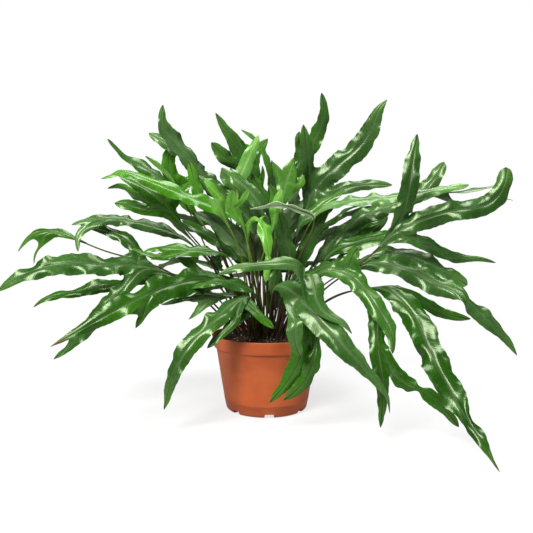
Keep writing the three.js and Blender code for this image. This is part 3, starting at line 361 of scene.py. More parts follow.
def leaf_group(veins, patches):
    """Colour, roughness and relief of a frond from its own green values."""
    group, tree, taken, given = new_group(
        "frond skin",
        {
            "Deep": ("Color", (0.02, 0.1, 0.02)),
            "Clear": ("Color", (0.05, 0.2, 0.03)),
            "Tip": ("Color", (0.1, 0.3, 0.04)),
            "Under": ("Color", (0.09, 0.2, 0.08)),
            "Rib": ("Color", (0.02, 0.03, 0.01)),
            "Pale rib": ("Color", (0.2, 0.32, 0.14)),
            # painted sheen: a pale grey-green mixed into the blade's colour where its gloss would mirror the
            # white room
            "Painted sheen": ("Color", (0.5, 0.66, 0.4)),
            "Stalk foot": ("Color", (0.03, 0.016, 0.008)),
            "Stalk top": ("Color", (0.06, 0.062, 0.016)),
            "Gloss": ("Float", 0.3),
        },
        {"Color": "Color", "Roughness": "Float", "Height": "Float"},
    )
    vein = use_group(tree, veins)
    patch = use_group(tree, patches)
    tone = tree.attribute("tone")
    edge = tree.attribute("edge")
    across = tree.attribute("across")
    under = tree.attribute("underside")
    stalk = tree.attribute("stalk")
    rise = tree.attribute("rise")
    tip = tree.attribute("tip")
    burnt = tree.attribute("burnt")
    pale = tree.attribute("pale_rib")
    silver = tree.attribute("silver")

    share = tree.plus(tree.times(patch["Patch"], 0.35), tone, 0.7)
    upper = tree.blend(share, taken["Deep"], taken["Clear"])
    upper = tree.blend(tree.times(vein["Vein"], 0.28), upper, taken["Deep"])
    upper = tree.blend(tree.times(tree.ramp(edge, 0.86, 1.0), 0.35), upper, taken["Clear"])
    upper = tree.blend(tree.times(tip, 0.75), upper, taken["Tip"])
    line = tree.ramp(across, 0.3 * MM, 0.9 * MM, 1.0, 0.0)
    flank = tree.ramp(across, 0.7 * MM, 2.2 * MM, 0.5, 0.0)
    rib = tree.blend(pale, taken["Rib"], taken["Pale rib"])
    upper = tree.blend(tree.times(flank, tree.math("ADD", 0.08, pale)), upper, taken["Pale rib"])
    upper = tree.blend(line, upper, rib)
    upper = tree.blend(tree.times(patch["Speck"], 0.5), upper, taken["Pale rib"])

    lower = tree.blend(tree.times(vein["Net"], 0.16), taken["Under"], taken["Deep"])
    lower = tree.blend(tree.times(tree.math("SUBTRACT", 1.0, share), 0.45), lower, taken["Deep"])
    blade = tree.blend(under, upper, lower)
    # painted sheen: each frond's share pales the blade's colour towards a grey-green, in place of the white
    # room reflected in its gloss
    sheen = tree.times(silver, tree.ramp(patch["Patch"], 0.0, 1.0, 0.5, 1.0))
    blade = tree.blend(sheen, blade, taken["Painted sheen"])
    stem = tree.blend(tree.ramp(rise, 0.4, 1.0), taken["Stalk foot"], taken["Stalk top"])
    colour = tree.blend(stalk, blade, stem)
    colour = tree.blend(burnt, colour, BURNT_BROWN)
    grain = tree.ramp(patch["Grain"], 0.25, 0.75, 0.9, 1.1)
    shade = tree.add("ShaderNodeCombineColor", Red=grain, Green=grain, Blue=grain)
    tree.set(given["Color"], tree.blend(1.0, colour, shade.outputs[0], "MULTIPLY"))

    rough = tree.plus(taken["Gloss"], under, 0.22)
    rough = tree.plus(rough, patch["Grain"], 0.1)
    rough = tree.plus(rough, tree.math("MAXIMUM", line, flank), 0.4)
    tree.set(given["Roughness"], tree.plus(rough, stalk, 0.3))
    relief = tree.plus(tree.times(vein["Vein"], -0.55), vein["Net"], -0.045)
    tree.set(given["Height"], tree.plus(relief, patch["Grain"], 0.08))
    return group


def leaf_material(name, group, **values):
    material, tree, shader = new_material(name)
    skin = use_group(tree, group, **values)
    tree.set(shader.inputs["Base Color"], skin["Color"])
    tree.set(shader.inputs["Roughness"], skin["Roughness"])
    shader.inputs["Specular IOR Level"].default_value = 0.5
    shader.inputs["Specular Tint"].default_value = (0.82, 1.0, 0.62, 1)
    bump(tree, shader, skin["Height"], 0.25, 0.4 * MM)
    return material


def leaf_materials():
    group = leaf_group(vein_group(), patch_group())
    return {name: leaf_material(name, group, **greens) for name, greens in LEAF_GREENS.items()}


# ---------------------------------------------------------------- fronds

SHEET_LEVELS = 3
MARGIN_EDGE = 0.68 * MM  # the solid's thickness at its margin
STALK_FOOT_Z = 0.103  # the stalks' lower ends are under this height
STALK_FOOT_REACH = 0.07  # and nearer to the pot's axis than this
STALK_HALF = 1.1 * MM  # from a stalk's middle to its upper side
BLADE_THICKNESS = 0.62 * MM
NARROWEST_BLADE = 1.9 * MM  # half the width at which the blade starts
FORK_TOP = 45 * MM  # no blade starts nearer than this to a stalk's foot, where some stalks fork
TIP_LENGTH = 22 * MM  # over this length a straight tip is rounded out
TIP_SHAPES = {  # 0 leaves a tip straight, 1 makes it round: the outermost tip, then the others
    "frond_right_hand": (1.0, 0.5),
    "frond_right_mid": (1.0, 1.0),
    "frond_right_spread": (0.9, 0.9),
    "frond_right_wave": (0.4, 0.95),
    "frond_top_right_hand": (0.4, 0.4),
    "frond_lime_small": (0.3, 0.3),
    "frond_top_middle": (0.2, 0.2),
    "frond_left_front": (0.3, 0.0),
    "frond_upper_left_paddle": (1.0, 0.5),
}
USUAL_TIP = (0.55, 0.5)
WAISTS = {  # where a blade is narrower than its solid: the place, how far along that reaches, how much
    "frond_right_hanging": [((0.190, -0.161, 0.071), 8 * MM, 0.7)],
    "frond_right_cascade": [((0.220, -0.247, 0.061), 14 * MM, 0.45), ((0.240, -0.284, 0.022), 32 * MM, 0.45)],
    "frond_right_wave": [((0.245, -0.147, 0.182), 16 * MM, 0.45), ((0.290, -0.170, 0.140), 45 * MM, 0.15)],
    "frond_front_right_broad": [((0.140, -0.201, 0.072), 42 * MM, 0.35)],
}
TIP_ANGLE = math.radians(110)
PALE_FORK = 60 * MM  # over this length from the foot of a blade its midrib turns from pale to dark
FORK_PALENESS = 0.35
FULL_HALF = 13 * MM  # half the width of a blade that carries the full relief
RELIEF_FROM = 18 * MM  # over this length from the foot of a blade its relief sets in
WAVE_LENGTHS = (21, 27)  # millimetres between the waves of a margin, before a frond's own stretch
SLOW_WAVE = 1.7  # the length of the broad folds, in waves
FINE_WAVE = 11 * MM
MOST_RELIEF = 1.25  # on a blade that is wider than FULL_HALF
# How high each part of the relief stands on a blade of full width, in millimetres.
WAVE_LIFT = 1.5
FOLD_LIFT = 2.6
FRILL_LIFT = 0.2
CELL_LIFT = 0.1
DENT_LIFT = 0.35
PUFF_LIFT = 0.8
GROOVE_DEPTH = 0.25
GROOVE_HALF = 1.1 * MM
WAVE_SPREAD = 1.3  # how far the waves and the frills move the margin outward, in millimetres
FRILL_SPREAD = 0.3
RUFFLE_SEEDS = (100, 7)  # the first frond's, and the step to the next
TIP_COLOUR = 45 * MM  # how far the newer green reaches back from a tip
STALK_RADII = (1.5 * MM, 1.05 * MM)  # at its foot and where the blade starts
RIB_RADII = (1.05 * MM, 0.72 * MM)  # where they start: the midrib that goes on from the stalk, a lobe's
RIB_SHOWS = 0.12 * MM  # how far a midrib stands over the upper face
STALK_FADES = 120 * MM  # over this length a midrib's underside loses the stalk's brown

BURNT_TIPS = {"frond_left_front": 0.02, "frond_left_low": 0.012, "frond_right_cascade": 0.006}
# How light a frond's green is, under 0 dark all over, how much painted sheen pales its colour and how pale
# its midrib.
LOOKS = {
    "frond_right_cascade": (0.05, 0.0, 0.0),
    "frond_front_right_broad": (0.4, 0.055, 0.15),
    "frond_right_hanging": (0.5, 0.0, 0.1),
    "frond_front_fork": (0.6, 0.055, 0.15),
    "frond_right_hand": (0.15, 0.035, 0.0),
    "frond_right_wave": (0.25, 0.055, 0.1),
    "frond_right_spread": (0.3, 0.14, 0.2),
    "frond_right_mid": (0.3, 0.07, 0.1),
    "frond_right_under": (0.4, 0.0, 0.1),
    "frond_right_far": (0.3, 0.1, 0.1),
    "frond_centre_pale": (0.9, 1.6, 0.6),
    "frond_top_bright": (0.4, 0.14, 0.5),
    "frond_top_right_hand": (0.25, 0.055, 0.0),
    "frond_top_middle": (0.5, 0.07, 0.4),
    "frond_upper_left_inner": (0.5, 0.07, 0.3),
    "frond_upper_left_broad": (0.35, 0.085, 0.2),
    "frond_upper_left_paddle": (0.7, 0.0, 0.1),
    "frond_front_over_pot": (1.0, 0.0, 0.1),
    "frond_front_small": (-0.4, 0.0, 0.0),
    "frond_lime_small": (0.1, 0.0, 0.2),
    "frond_lime_curled": (0.3, 0.035, 0.2),
    "frond_lime_hanging": (0.6, 0.0, 0.1),
    "frond_left_long": (0.35, 0.035, 0.0),
    "frond_left_front": (0.4, 0.0, 0.0),
    "frond_left_bright": (0.9, 0.0, 0.2),
    "frond_left_hand": (0.6, 0.0, 0.1),
    "frond_left_low": (0.9, 0.0, 0.1),
    "frond_left_level": (-0.4, 0.0, 0.1),
    "frond_left_sliver": (0.3, 0.14, 0.2),
    "frond_left_arch": (0.5, 0.085, 0.1),
    "frond_left_tip": (-0.2, 0.0, 0.1),
}
USUAL_TONES = (0.1, 0.9)
# the usual share of painted sheen in a blade's colour
USUAL_PAINTED_SHEEN = 0.035
USUAL_PALE_RIB = 0.05
FOLDS = {  # how far a frond's margins fold up and down, and what the length of its waves is multiplied by
    "frond_right_cascade": (1.5, 1.7),
    "frond_right_wave": (1.3, 1.2),
    "frond_right_under": (0.5, 1.3),
    "frond_right_hand": (0.9, 1.6),
    "frond_right_hooked": (1.0, 1.5),
    "frond_front_fork": (0.7, 1.4),
    "frond_front_right_broad": (0.9, 1.5),
    "frond_front_over_pot": (0.8, 1.5),
    "frond_front_left_drooping": (1.0, 1.4),
    "frond_left_long": (1.1, 1.0),
    "frond_left_front": (1.0, 1.5),
    "frond_lime_hanging": (0.5, 1.0),
    "frond_top_bright": (0.6, 1.3),
    "frond_top_right_hand": (0.8, 1.7),
    "frond_top_right_tall": (1.0, 1.5),
    "frond_top_left": (1.0, 1.5),
}
USUAL_FOLDS = (1.0, 1.15)


def looks_of(node_name, number):
    tone = random.Random(number * 13 + 5).uniform(*USUAL_TONES)
    return LOOKS.get(node_name, (tone, USUAL_PAINTED_SHEEN, USUAL_PALE_RIB))


def is_stalk_foot(vertex):
    return vertex.co.z < STALK_FOOT_Z and math.hypot(vertex.co.x, vertex.co.y) < STALK_FOOT_REACH


def islands(bm):
    left = set(bm.verts)
    while left:
        start = left.pop()
        found, edge = [start], [start]
        while edge:
            for near in edge.pop().link_edges:
                for v in near.verts:
                    if v in left:
                        left.discard(v)
                        found.append(v)
                        edge.append(v)
        yield found


def stalk_root(verts):
    """The middle one of the three points at the stalk's lower end."""
    foot = [v for v in verts if is_stalk_foot(v)]
    middle = sum((v.co for v in foot), Vector()) / len(foot)
    return min(foot, key=lambda v: (v.co - middle).length), foot


def is_upper(verts):
    """Seen from outside, the diagonal that leaves the root leans to the left on the upper face."""
    root, foot = stalk_root(verts)
    ahead = [edge.other_vert(root) for edge in root.link_edges]
    ahead = [v for v in ahead if v not in foot]
    side = next(v for v in ahead if v.is_boundary)
    rib = next(v for v in ahead if not v.is_boundary)
    return (side.co - root.co).cross(rib.co - root.co).dot(root.normal) < 0


def upper_sheet(node):
    """The upper face of a frond's solid as an open sheet."""
    bm = bmesh.new()
    bm.from_mesh(node.data)
    bmesh.ops.remove_doubles(bm, verts=bm.verts, dist=0.01 * MM)
    rim = [edge for edge in bm.edges if abs(edge.calc_length() - MARGIN_EDGE) < 0.02 * MM]
    walls = {face for edge in rim for face in edge.link_faces}
    walls |= {face for face in bm.faces if all(is_stalk_foot(v) for v in face.verts)}
    bmesh.ops.delete(bm, geom=list(walls), context="FACES")
    bm.normal_update()
    sides = list(islands(bm))
    spare = [v for side in sides if not is_upper(side) for v in side]
    bmesh.ops.delete(bm, geom=spare, context="VERTS")
    bm.normal_update()
    return bm


def midrib_edges(bm):
    """The tree of edges from the foot of the stalk to every tip, and the tips."""
    bm.verts.ensure_lookup_table()
    root, foot = stalk_root(bm.verts)
    inner = {v for v in bm.verts if not v.is_boundary} | {root}
    tips = []
    for vertex in bm.verts:
        if not vertex.is_boundary or vertex in foot:
            continue
        one, other = [e.other_vert(vertex).co - vertex.co for e in vertex.link_edges if e.is_boundary]
        if len(vertex.link_faces) == 2 and one.angle(other) < TIP_ANGLE:
            tips.append(vertex)
    inner |= set(tips)
    reached = {root: 0.0}
    came = {}
    waiting = {root}
    while waiting:
        vertex = min(waiting, key=lambda v: reached[v])
        waiting.discard(vertex)
        for edge in vertex.link_edges:
            other = edge.other_vert(vertex)
            if other not in inner:
                continue
            length = reached[vertex] + edge.calc_length()
            if length < reached.get(other, math.inf) - TINY:
                reached[other] = length
                came[other] = edge
                waiting.add(other)
    return set(came.values()), tips, foot, root.co.copy()


def smooth_sheet(name, node):
    """The upper face in small squares, with the midribs marked as seams."""
    bm = upper_sheet(node)
    crease = bm.verts.layers.float.new("crease_vert")
    ribs, tips, foot, root = midrib_edges(bm)
    for edge in ribs:
        edge.seam = True
    for vertex in [*tips, *foot]:
        vertex[crease] = 1.0
    mesh = bpy.data.meshes.new(name)
    bm.to_mesh(mesh)
    bm.free()
    piece = link(name, mesh)
    only(piece)
    bpy.ops.object.mode_set(mode="EDIT")
    bpy.ops.mesh.select_all(action="SELECT")
    bpy.ops.mesh.tris_convert_to_quads(face_threshold=math.pi, shape_threshold=math.pi, seam=True)
    bpy.ops.object.mode_set(mode="OBJECT")
    apply_modifier(piece, "SUBSURF", levels=SHEET_LEVELS, render_levels=SHEET_LEVELS)
    return piece, root


def nearest_segment(spots, starts, ends):
    """For each spot the nearest one of its row of segments, or of the only row: which one that is, how
    far along it the nearest place is, that place, and the distance to it.
    """
    lengths = np.maximum(np.linalg.norm(ends - starts, axis=2), TINY)
    way = (ends - starts) / lengths[..., None]
    share = np.clip(np.einsum("ijk,ijk->ij", spots[:, None] - starts, way), 0, lengths)
    foot = starts + share[..., None] * way
    gap = np.linalg.norm(spots[:, None] - foot, axis=2)
    best = gap.argmin(axis=1)
    rows = np.arange(len(spots))
    return best, share[rows, best], foot[rows, best], gap[rows, best]


class Midribs:
    """The midribs of a smoothed sheet: where they run, how far each point is from the foot."""

    def __init__(self, mesh, points, root):
        near = {}
        for edge in mesh.edges:
            if edge.use_seam:
                a, b = edge.vertices
                near.setdefault(a, []).append(b)
                near.setdefault(b, []).append(a)
        ends = [v for v, others in near.items() if len(others) == 1]
        self.root = min(ends, key=lambda v: np.linalg.norm(points[v] - np.array(root)))
        self.reach = {self.root: 0.0}
        self.before = {}
        self.after = {v: [] for v in near}
        order = [self.root]
        for vertex in order:
            for other in near[vertex]:
                if other not in self.reach:
                    step = float(np.linalg.norm(points[other] - points[vertex]))
                    self.reach[other] = self.reach[vertex] + step
                    self.before[other] = vertex
                    self.after[vertex].append(other)
                    order.append(other)
        self.order = order

    def find_blades(self, margin):
        """Where along each midrib its blade starts; on a stalk, where the first one after it does."""
        self.blade_from = np.full(len(margin), np.inf)
        self.next_blade = np.full(len(margin), np.inf)
        self.left = np.zeros(len(margin))
        for vertex in self.order:
            opens = margin[vertex] > NARROWEST_BLADE and self.reach[vertex] > FORK_TOP
            inherited = self.blade_from[self.before[vertex]] if vertex in self.before else np.inf
            self.blade_from[vertex] = min(inherited, self.reach[vertex] if opens else np.inf)
        for vertex in reversed(self.order):
            after = self.after[vertex]
            ahead = [self.next_blade[v] for v in after]
            self.next_blade[vertex] = min([self.blade_from[vertex], *ahead])
            steps = [self.left[v] + self.reach[v] - self.reach[vertex] for v in after]
            self.left[vertex] = max(steps, default=0.0)

    def branches(self, points):
        """Each midrib from its start to its tip: the one from the root first."""
        waiting = [[self.root]]
        done = []
        while waiting:
            run = waiting.pop(0)
            while self.after[run[-1]]:
                here = run[-1]
                nexts = self.after[here]
                if len(run) > 1:
                    way = points[here] - points[run[-2]]
                    nexts = sorted(nexts, key=lambda v: -float(np.dot(way, points[v] - points[here])))
                run.append(nexts[0])
                waiting += [[here, other] for other in nexts[1:]]
            done.append(run)
        return done

    def owners(self, mesh, points):
        """For each vertex of the sheet, the midrib vertex with the shortest way to it over the sheet."""
        pairs = np.zeros(len(mesh.edges) * 2, dtype=int)
        mesh.edges.foreach_get("vertices", pairs)
        one, other = pairs.reshape(-1, 2).T
        start, end = np.r_[one, other], np.r_[other, one]
        lengths = np.linalg.norm(points[start] - points[end], axis=1)
        away = np.full(len(points), np.inf)
        owner = np.zeros(len(points), dtype=int)
        away[self.order] = 0.0
        owner[self.order] = self.order
        while True:
            reach = away[start] + lengths
            better = np.nonzero(reach < away[end] - TINY)[0]
            if not len(better):
                return owner
            better = better[np.argsort(-reach[better])]
            away[end[better]] = reach[better]
            owner[end[better]] = owner[start[better]]

    def along_sheet(self, mesh, points):
        """For each point of the sheet, on the midrib that it belongs to: its distance along that, its
        distance from it, the place on it, the vertex just ahead, and what is left to the tip.
        """
        owner = self.owners(mesh, points)
        ways = [[self.before[v], v] if v in self.before else [v, self.after[v][0]] for v in self.order]
        around = {v: [way] for v, way in zip(self.order, ways)}
        for vertex in self.order:
            around[vertex] = around[vertex] + [[vertex, v] for v in self.after[vertex]]
        most = max(len(segments) for segments in around.values())
        table = np.zeros((len(points), most, 2), dtype=int)
        for vertex, segments in around.items():
            table[vertex] = (segments * most)[:most]
        starts, ends = table[owner].transpose(2, 0, 1)
        best, length, foot, gap = nearest_segment(points, points[starts], points[ends])
        rows = np.arange(len(points))
        reach = np.zeros(len(points))
        reach[self.order] = [self.reach[v] for v in self.order]
        end = ends[rows, best]
        run = reach[starts[rows, best]] + length
        left = self.left[end] + np.maximum(reach[end] - run, 0)
        return run, gap, foot, end, left

    def nearest(self, points, spots):
        """For each spot: its distance along the midribs, and the midrib vertex just ahead of it."""
        ends = np.array([v for v in self.order if v in self.before])
        starts = np.array([self.before[v] for v in ends])
        best, length, _, _ = nearest_segment(spots, points[starts][None], points[ends][None])
        from_foot = np.array([self.reach[v] for v in starts])
        return from_foot[best] + length, ends[best]


def soft_noise(points, scale, seed):
    """A smooth wander between about -1 and 1 in space."""
    rng = np.random.default_rng(seed)
    total = np.zeros(len(points))
    for _ in range(6):
        way = rng.normal(size=3)
        way /= np.linalg.norm(way)
        pitch = 2 * math.pi / (scale * rng.uniform(0.7, 1.5))
        total += np.sin(points @ way * pitch + rng.uniform(0, 2 * math.pi))
    return total / 3.0


def rounding(left, bluntness):
    """What the width is multiplied by, so that a straight tip becomes a round one."""
    share = np.clip(left / TIP_LENGTH, 0.12, 1)
    return (np.sqrt(2 * share - share**2) / share) ** bluntness


def widening_of(node_name, left, from_outer, foot):
    """What each point's distance from the midrib is multiplied by, for round tips and for waists."""
    outer, others = TIP_SHAPES.get(node_name, USUAL_TIP)
    widening = rounding(left, np.where(from_outer < 1.5 * TIP_LENGTH, outer, others))
    for place, reach, depth in WAISTS.get(node_name, []):
        off = np.linalg.norm(foot - np.array(place), axis=1)
        widening *= 1 - depth * np.exp(-((off / reach) ** 2))
    return widening


def ruffle(points, normals, run, gap, foot, margin, widening, folds, stretch, seed):
    """Waves and fine frills towards the margins, and puffed cells between the side veins."""
    rng = np.random.default_rng(seed)
    full = 2 * math.pi
    half = gap + margin
    edge = gap / np.maximum(half, NEVER_ZERO)
    size = np.clip(half / FULL_HALF, 0.0, MOST_RELIEF)
    phase, slow_phase = rng.uniform(0, full, 2)
    wave = rng.uniform(*WAVE_LENGTHS) * MM * stretch
    turn = full * run / wave + phase + 2.6 * soft_noise(points, 60 * MM, seed + 1)
    slow = full * run / (SLOW_WAVE * wave) + slow_phase + 2.2 * soft_noise(points, 80 * MM, seed + 5)
    fine = full * run / FINE_WAVE + 2.4 * soft_noise(points, 30 * MM, seed + 2)
    cell = full * (run - VEIN_SLANT * gap) / VEIN_SPACING
    uneven = 0.65 + 0.4 * soft_noise(points, 70 * MM, seed + 7)

    waves = WAVE_LIFT * uneven * edge**2 * np.sin(turn)
    broad_folds = FOLD_LIFT * folds * edge**1.6 * np.sin(slow)
    frills = FRILL_LIFT * edge**2 * np.sin(fine)
    cells = CELL_LIFT * (4 * edge * (1 - edge)) ** 0.7 * np.abs(np.sin(cell / 2))
    dents = DENT_LIFT * soft_noise(points, 34 * MM, seed + 3) * np.minimum(3 * edge, 1)
    puff = PUFF_LIFT * np.sin(math.pi * edge**0.8)
    groove = GROOVE_DEPTH * np.exp(-((gap / GROOVE_HALF) ** 2))
    lift = MM * size * (waves + broad_folds + frills + cells + dents + puff - groove)

    outward = (points - foot) / np.maximum(gap, NEVER_ZERO)[:, None]
    outward -= normals * np.einsum("ij,ij->i", outward, normals)[:, None]
    sideways = WAVE_SPREAD * uneven * np.sin(turn + 1.3) + FRILL_SPREAD * np.sin(fine + 0.7)
    spread = MM * size * edge**2 * sideways + gap * (widening - 1)
    return points + normals * lift[:, None] + outward * spread[:, None], edge


def nearest_distance(spots, targets):
    gaps = np.full(len(spots), np.inf)
    for start in range(0, len(targets), 256):
        block = targets[start : start + 256]
        gaps = np.minimum(gaps, np.linalg.norm(spots[:, None] - block[None], axis=2).min(axis=1))
    return gaps


def margin_vertices(mesh):
    bm = bmesh.new()
    bm.from_mesh(mesh)
    found = [v.index for v in bm.verts if v.is_boundary]
    bm.free()
    return np.array(found)


def add_stalk(name, runs, points, normals, ribs):
    """The round stalk and the midribs along the blade, as one mesh from curves."""
    curve = bpy.data.curves.new(name, "CURVE")
    curve.dimensions = "3D"
    curve.bevel_depth = 1.0
    curve.bevel_resolution = 1
    curve.use_fill_caps = True
    for run in runs:
        if len(run) < 3:
            continue
        spline = curve.splines.new("POLY")
        spline.points.add(len(run) - 1)
        total = ribs.reach[run[-1]]
        stalked = np.isinf(ribs.blade_from[run[0]])
        stalk_end = ribs.blade_from[run].min()
        begin = max(ribs.reach[run[0]], stalk_end)
        for spot, vertex in zip(spline.points, run):
            reach = ribs.reach[vertex]
            if reach < stalk_end:
                low, high = STALK_RADII
                radius = low + (high - low) * reach / stalk_end
                sink = STALK_HALF
            else:
                share = (reach - begin) / max(total - begin, NEVER_ZERO)
                radius = RIB_RADII[0 if stalked else 1] * (1 - 0.8 * share)
                sink = radius - RIB_SHOWS
            spot.co = (*(points[vertex] - normals[vertex] * sink), 1)
            spot.radius = radius
    only(link(name, curve))
    bpy.ops.object.convert(target="MESH")
    return bpy.context.view_layer.objects.active


def thicken(piece, past_start):
    """The sheet without its stalk, given its thickness, with the lower face marked."""
    mesh = piece.data
    bm = bmesh.new()
    bm.from_mesh(mesh)
    bm.verts.ensure_lookup_table()
    bare = [f for f in bm.faces if all(past_start[v.index] < -0.5 * MM for v in f.verts)]
    bmesh.ops.delete(bm, geom=bare, context="FACES")
    bm.to_mesh(mesh)
    bm.free()
    upper_count = len(mesh.vertices)
    apply_modifier(piece, "SOLIDIFY", thickness=BLADE_THICKNESS, offset=-1.0, use_rim=True)
    under = np.zeros(len(mesh.vertices))
    under[upper_count:] = 1.0
    set_attributes(mesh, underside=under, rise=1.0, stalk=0.0)


def mark_stalk(mesh, points, ribs):
    """What the leaf finish reads on the stalk and on the round midribs."""
    run, rib = ribs.nearest(points, points_of(mesh))
    rise = np.clip(run / (ribs.next_blade[rib] * 1.15), 0, 1)
    on_blade = np.maximum(run - ribs.blade_from[rib], 0)
    set_attributes(mesh, along=run, rise=rise, stalk=np.clip(1.3 - on_blade / STALK_FADES, 0.0, 1.0))
    set_attributes(mesh, across=0.0, edge=0.0, tip=0.0, burnt=0.0, pale_rib=0.0, underside=0.0)


def finish_frond(name, node, number, material):
    """A whole frond: its ruffled blade with its thickness, its midribs and its stalk."""
    piece, root = smooth_sheet(name, node)
    mesh = piece.data
    points = points_of(mesh)
    normals = normals_of(mesh)
    ribs = Midribs(mesh, points, root)
    margin = nearest_distance(points, points[margin_vertices(mesh)])
    ribs.find_blades(margin)
    run, gap, foot, rib, left = ribs.along_sheet(mesh, points)
    past_start = run - ribs.blade_from[rib]
    runs = ribs.branches(points)
    tips = [branch[-1] for branch in runs]
    outer_tip = max(tips, key=lambda v: math.hypot(points[v][0], points[v][1]))
    from_outer = np.linalg.norm(points - points[outer_tip], axis=1)

    widening = widening_of(node.name, left, from_outer, foot)
    folds = FOLDS.get(node.name, USUAL_FOLDS)
    seed = RUFFLE_SEEDS[0] + RUFFLE_SEEDS[1] * number
    ruffled, edge = ruffle(points, normals, run, gap, foot, margin, widening, *folds, seed)
    on_blade = np.clip(past_start / RELIEF_FROM, 0, 1)[:, None]
    shaped = points + (ruffled - points) * on_blade
    set_points(mesh, shaped)
    shaped_normals = normals_of(mesh)

    tone, silver, pale = looks_of(node.name, number)
    tip = np.clip(1 - nearest_distance(shaped, shaped[tips]) / TIP_COLOUR, 0, 1) ** 1.5
    burnt = BURNT_TIPS.get(node.name, 0.0)
    burn = np.clip(1.2 - from_outer / burnt, 0, 1) if burnt else 0.0
    fork_share = np.clip(1 - np.where(np.isinf(past_start), 0, past_start) / PALE_FORK, 0, 1)
    pale_rib = np.clip(pale + FORK_PALENESS * fork_share, 0, 1)
    set_attributes(mesh, along=run, across=gap, edge=edge, tip=tip, burnt=burn, pale_rib=pale_rib)
    thicken(piece, past_start)

    stalk = add_stalk(name + "_stalk", runs, shaped, shaped_normals, ribs)
    mark_stalk(stalk.data, shaped, ribs)
    only(piece)
    stalk.select_set(True)
    bpy.ops.object.join()
    # each frond's tone, and its share of painted sheen in the blade's colour
    set_attributes(piece.data, tone=tone, silver=silver)
    only(piece)
    bpy.ops.object.shade_smooth_by_angle(angle=SHARP)
    piece.data.materials.clear()
    piece.data.materials.append(material)
    return piece


def add_fronds(materials):
    names = sorted(name for name in nodes if name.startswith("frond_"))
    for number, node_name in enumerate(names):
        slot = slot_of[node_name]
        name = node_name.replace("frond_", "leafy_")
        piece = finish_frond(name, nodes[node_name], number, materials[slot])
        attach(piece, "root")
        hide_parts(node_name)


# ---------------------------------------------------------------- the pot

POT_SIDES = 144
RIM = 82.0 * MM
RIM_HEIGHT = 112.0 * MM
COLLAR_HEIGHT = 18.5 * MM
COLLAR_FOOT = RIM - 3.6 * MM
WALL_TOP = COLLAR_FOOT - 2.8 * MM
FOOT = 61.0 * MM
FOOT_ROUNDING = 5.0 * MM
WALL = 1.7 * MM
FLOOR = 7.5 * MM
RECESS_TOP = 5.5 * MM
RECESS_INNER = 22.0 * MM
RECESS_OUTER = 50.0 * MM
NOTCHES = 7
NOTCH_WIDTH = 14.0 * MM
FIRST_NOTCH = math.radians(-86)
DRAIN = 4.0 * MM
MOULD_LINE = 17.0 * MM
SPARE = 2.0 * MM  # how far a cutter goes past what it cuts
POT_SHARP = math.radians(35)
POT_DEEP = (0.45, 0.084, 0.018)
POT_CLEAR = (0.55, 0.118, 0.028)
POT_STREAK = (0.56, 0.14, 0.04)
# the colour of the painted shade low down on the pot
POT_PAINTED_SHADE = (0.3, 0.06, 0.018)


def arc(centre, radius, start, stop, steps):
    """Points (radius, height) of an arc, its angles in degrees from straight outwards."""
    turns = [math.radians(start + (stop - start) * i / steps) for i in range(steps + 1)]
    return [(centre[0] + radius * math.cos(a), centre[1] + radius * math.sin(a)) for a in turns]


def wall_radius(z):
    share = (z - FOOT_ROUNDING) / (RIM_HEIGHT - COLLAR_HEIGHT - FOOT_ROUNDING)
    return FOOT + 0.6 * MM * (1 - share) + (WALL_TOP - FOOT) * share


def pot_profile():
    """Up the outside from the foot, over the rim and down the inside to the floor."""
    collar = RIM_HEIGHT - COLLAR_HEIGHT
    inside = wall_radius(collar) - WALL
    lip = 1.0 * MM
    outer = arc((FOOT - FOOT_ROUNDING, FOOT_ROUNDING), FOOT_ROUNDING, -90, -8, 7)
    outer += [
        (wall_radius(MOULD_LINE - 0.5 * MM), MOULD_LINE - 0.5 * MM),
        (wall_radius(MOULD_LINE) + 0.22 * MM, MOULD_LINE - 0.15 * MM),
        (wall_radius(MOULD_LINE) + 0.22 * MM, MOULD_LINE + 0.15 * MM),
        (wall_radius(MOULD_LINE + 0.5 * MM), MOULD_LINE + 0.5 * MM),
        (wall_radius(collar * 0.5), collar * 0.5),
        (wall_radius(collar - 1.6 * MM), collar - 1.6 * MM),
    ]
    outer += arc((WALL_TOP + 1.2 * MM, collar - 1.4 * MM), 1.4 * MM, 180, 100, 4)
    outer += arc((COLLAR_FOOT - 0.9 * MM, collar + 0.9 * MM), 0.9 * MM, -90, 5, 5)
    outer += arc((RIM - lip, RIM_HEIGHT - lip), lip, 0, 90, 5)
    inner = arc((RIM - lip - WALL * 0.6, RIM_HEIGHT - lip * 0.6), lip * 0.6, 90, 180, 3)
    inner += [
        (inside, collar),
        (wall_radius(FLOOR + 6 * MM) - WALL, FLOOR + 6 * MM),
    ]
    low = wall_radius(FLOOR) - WALL
    inner += arc((low - 2 * MM, FLOOR + 2 * MM), 2 * MM, 0, -90, 3)
    return outer + inner


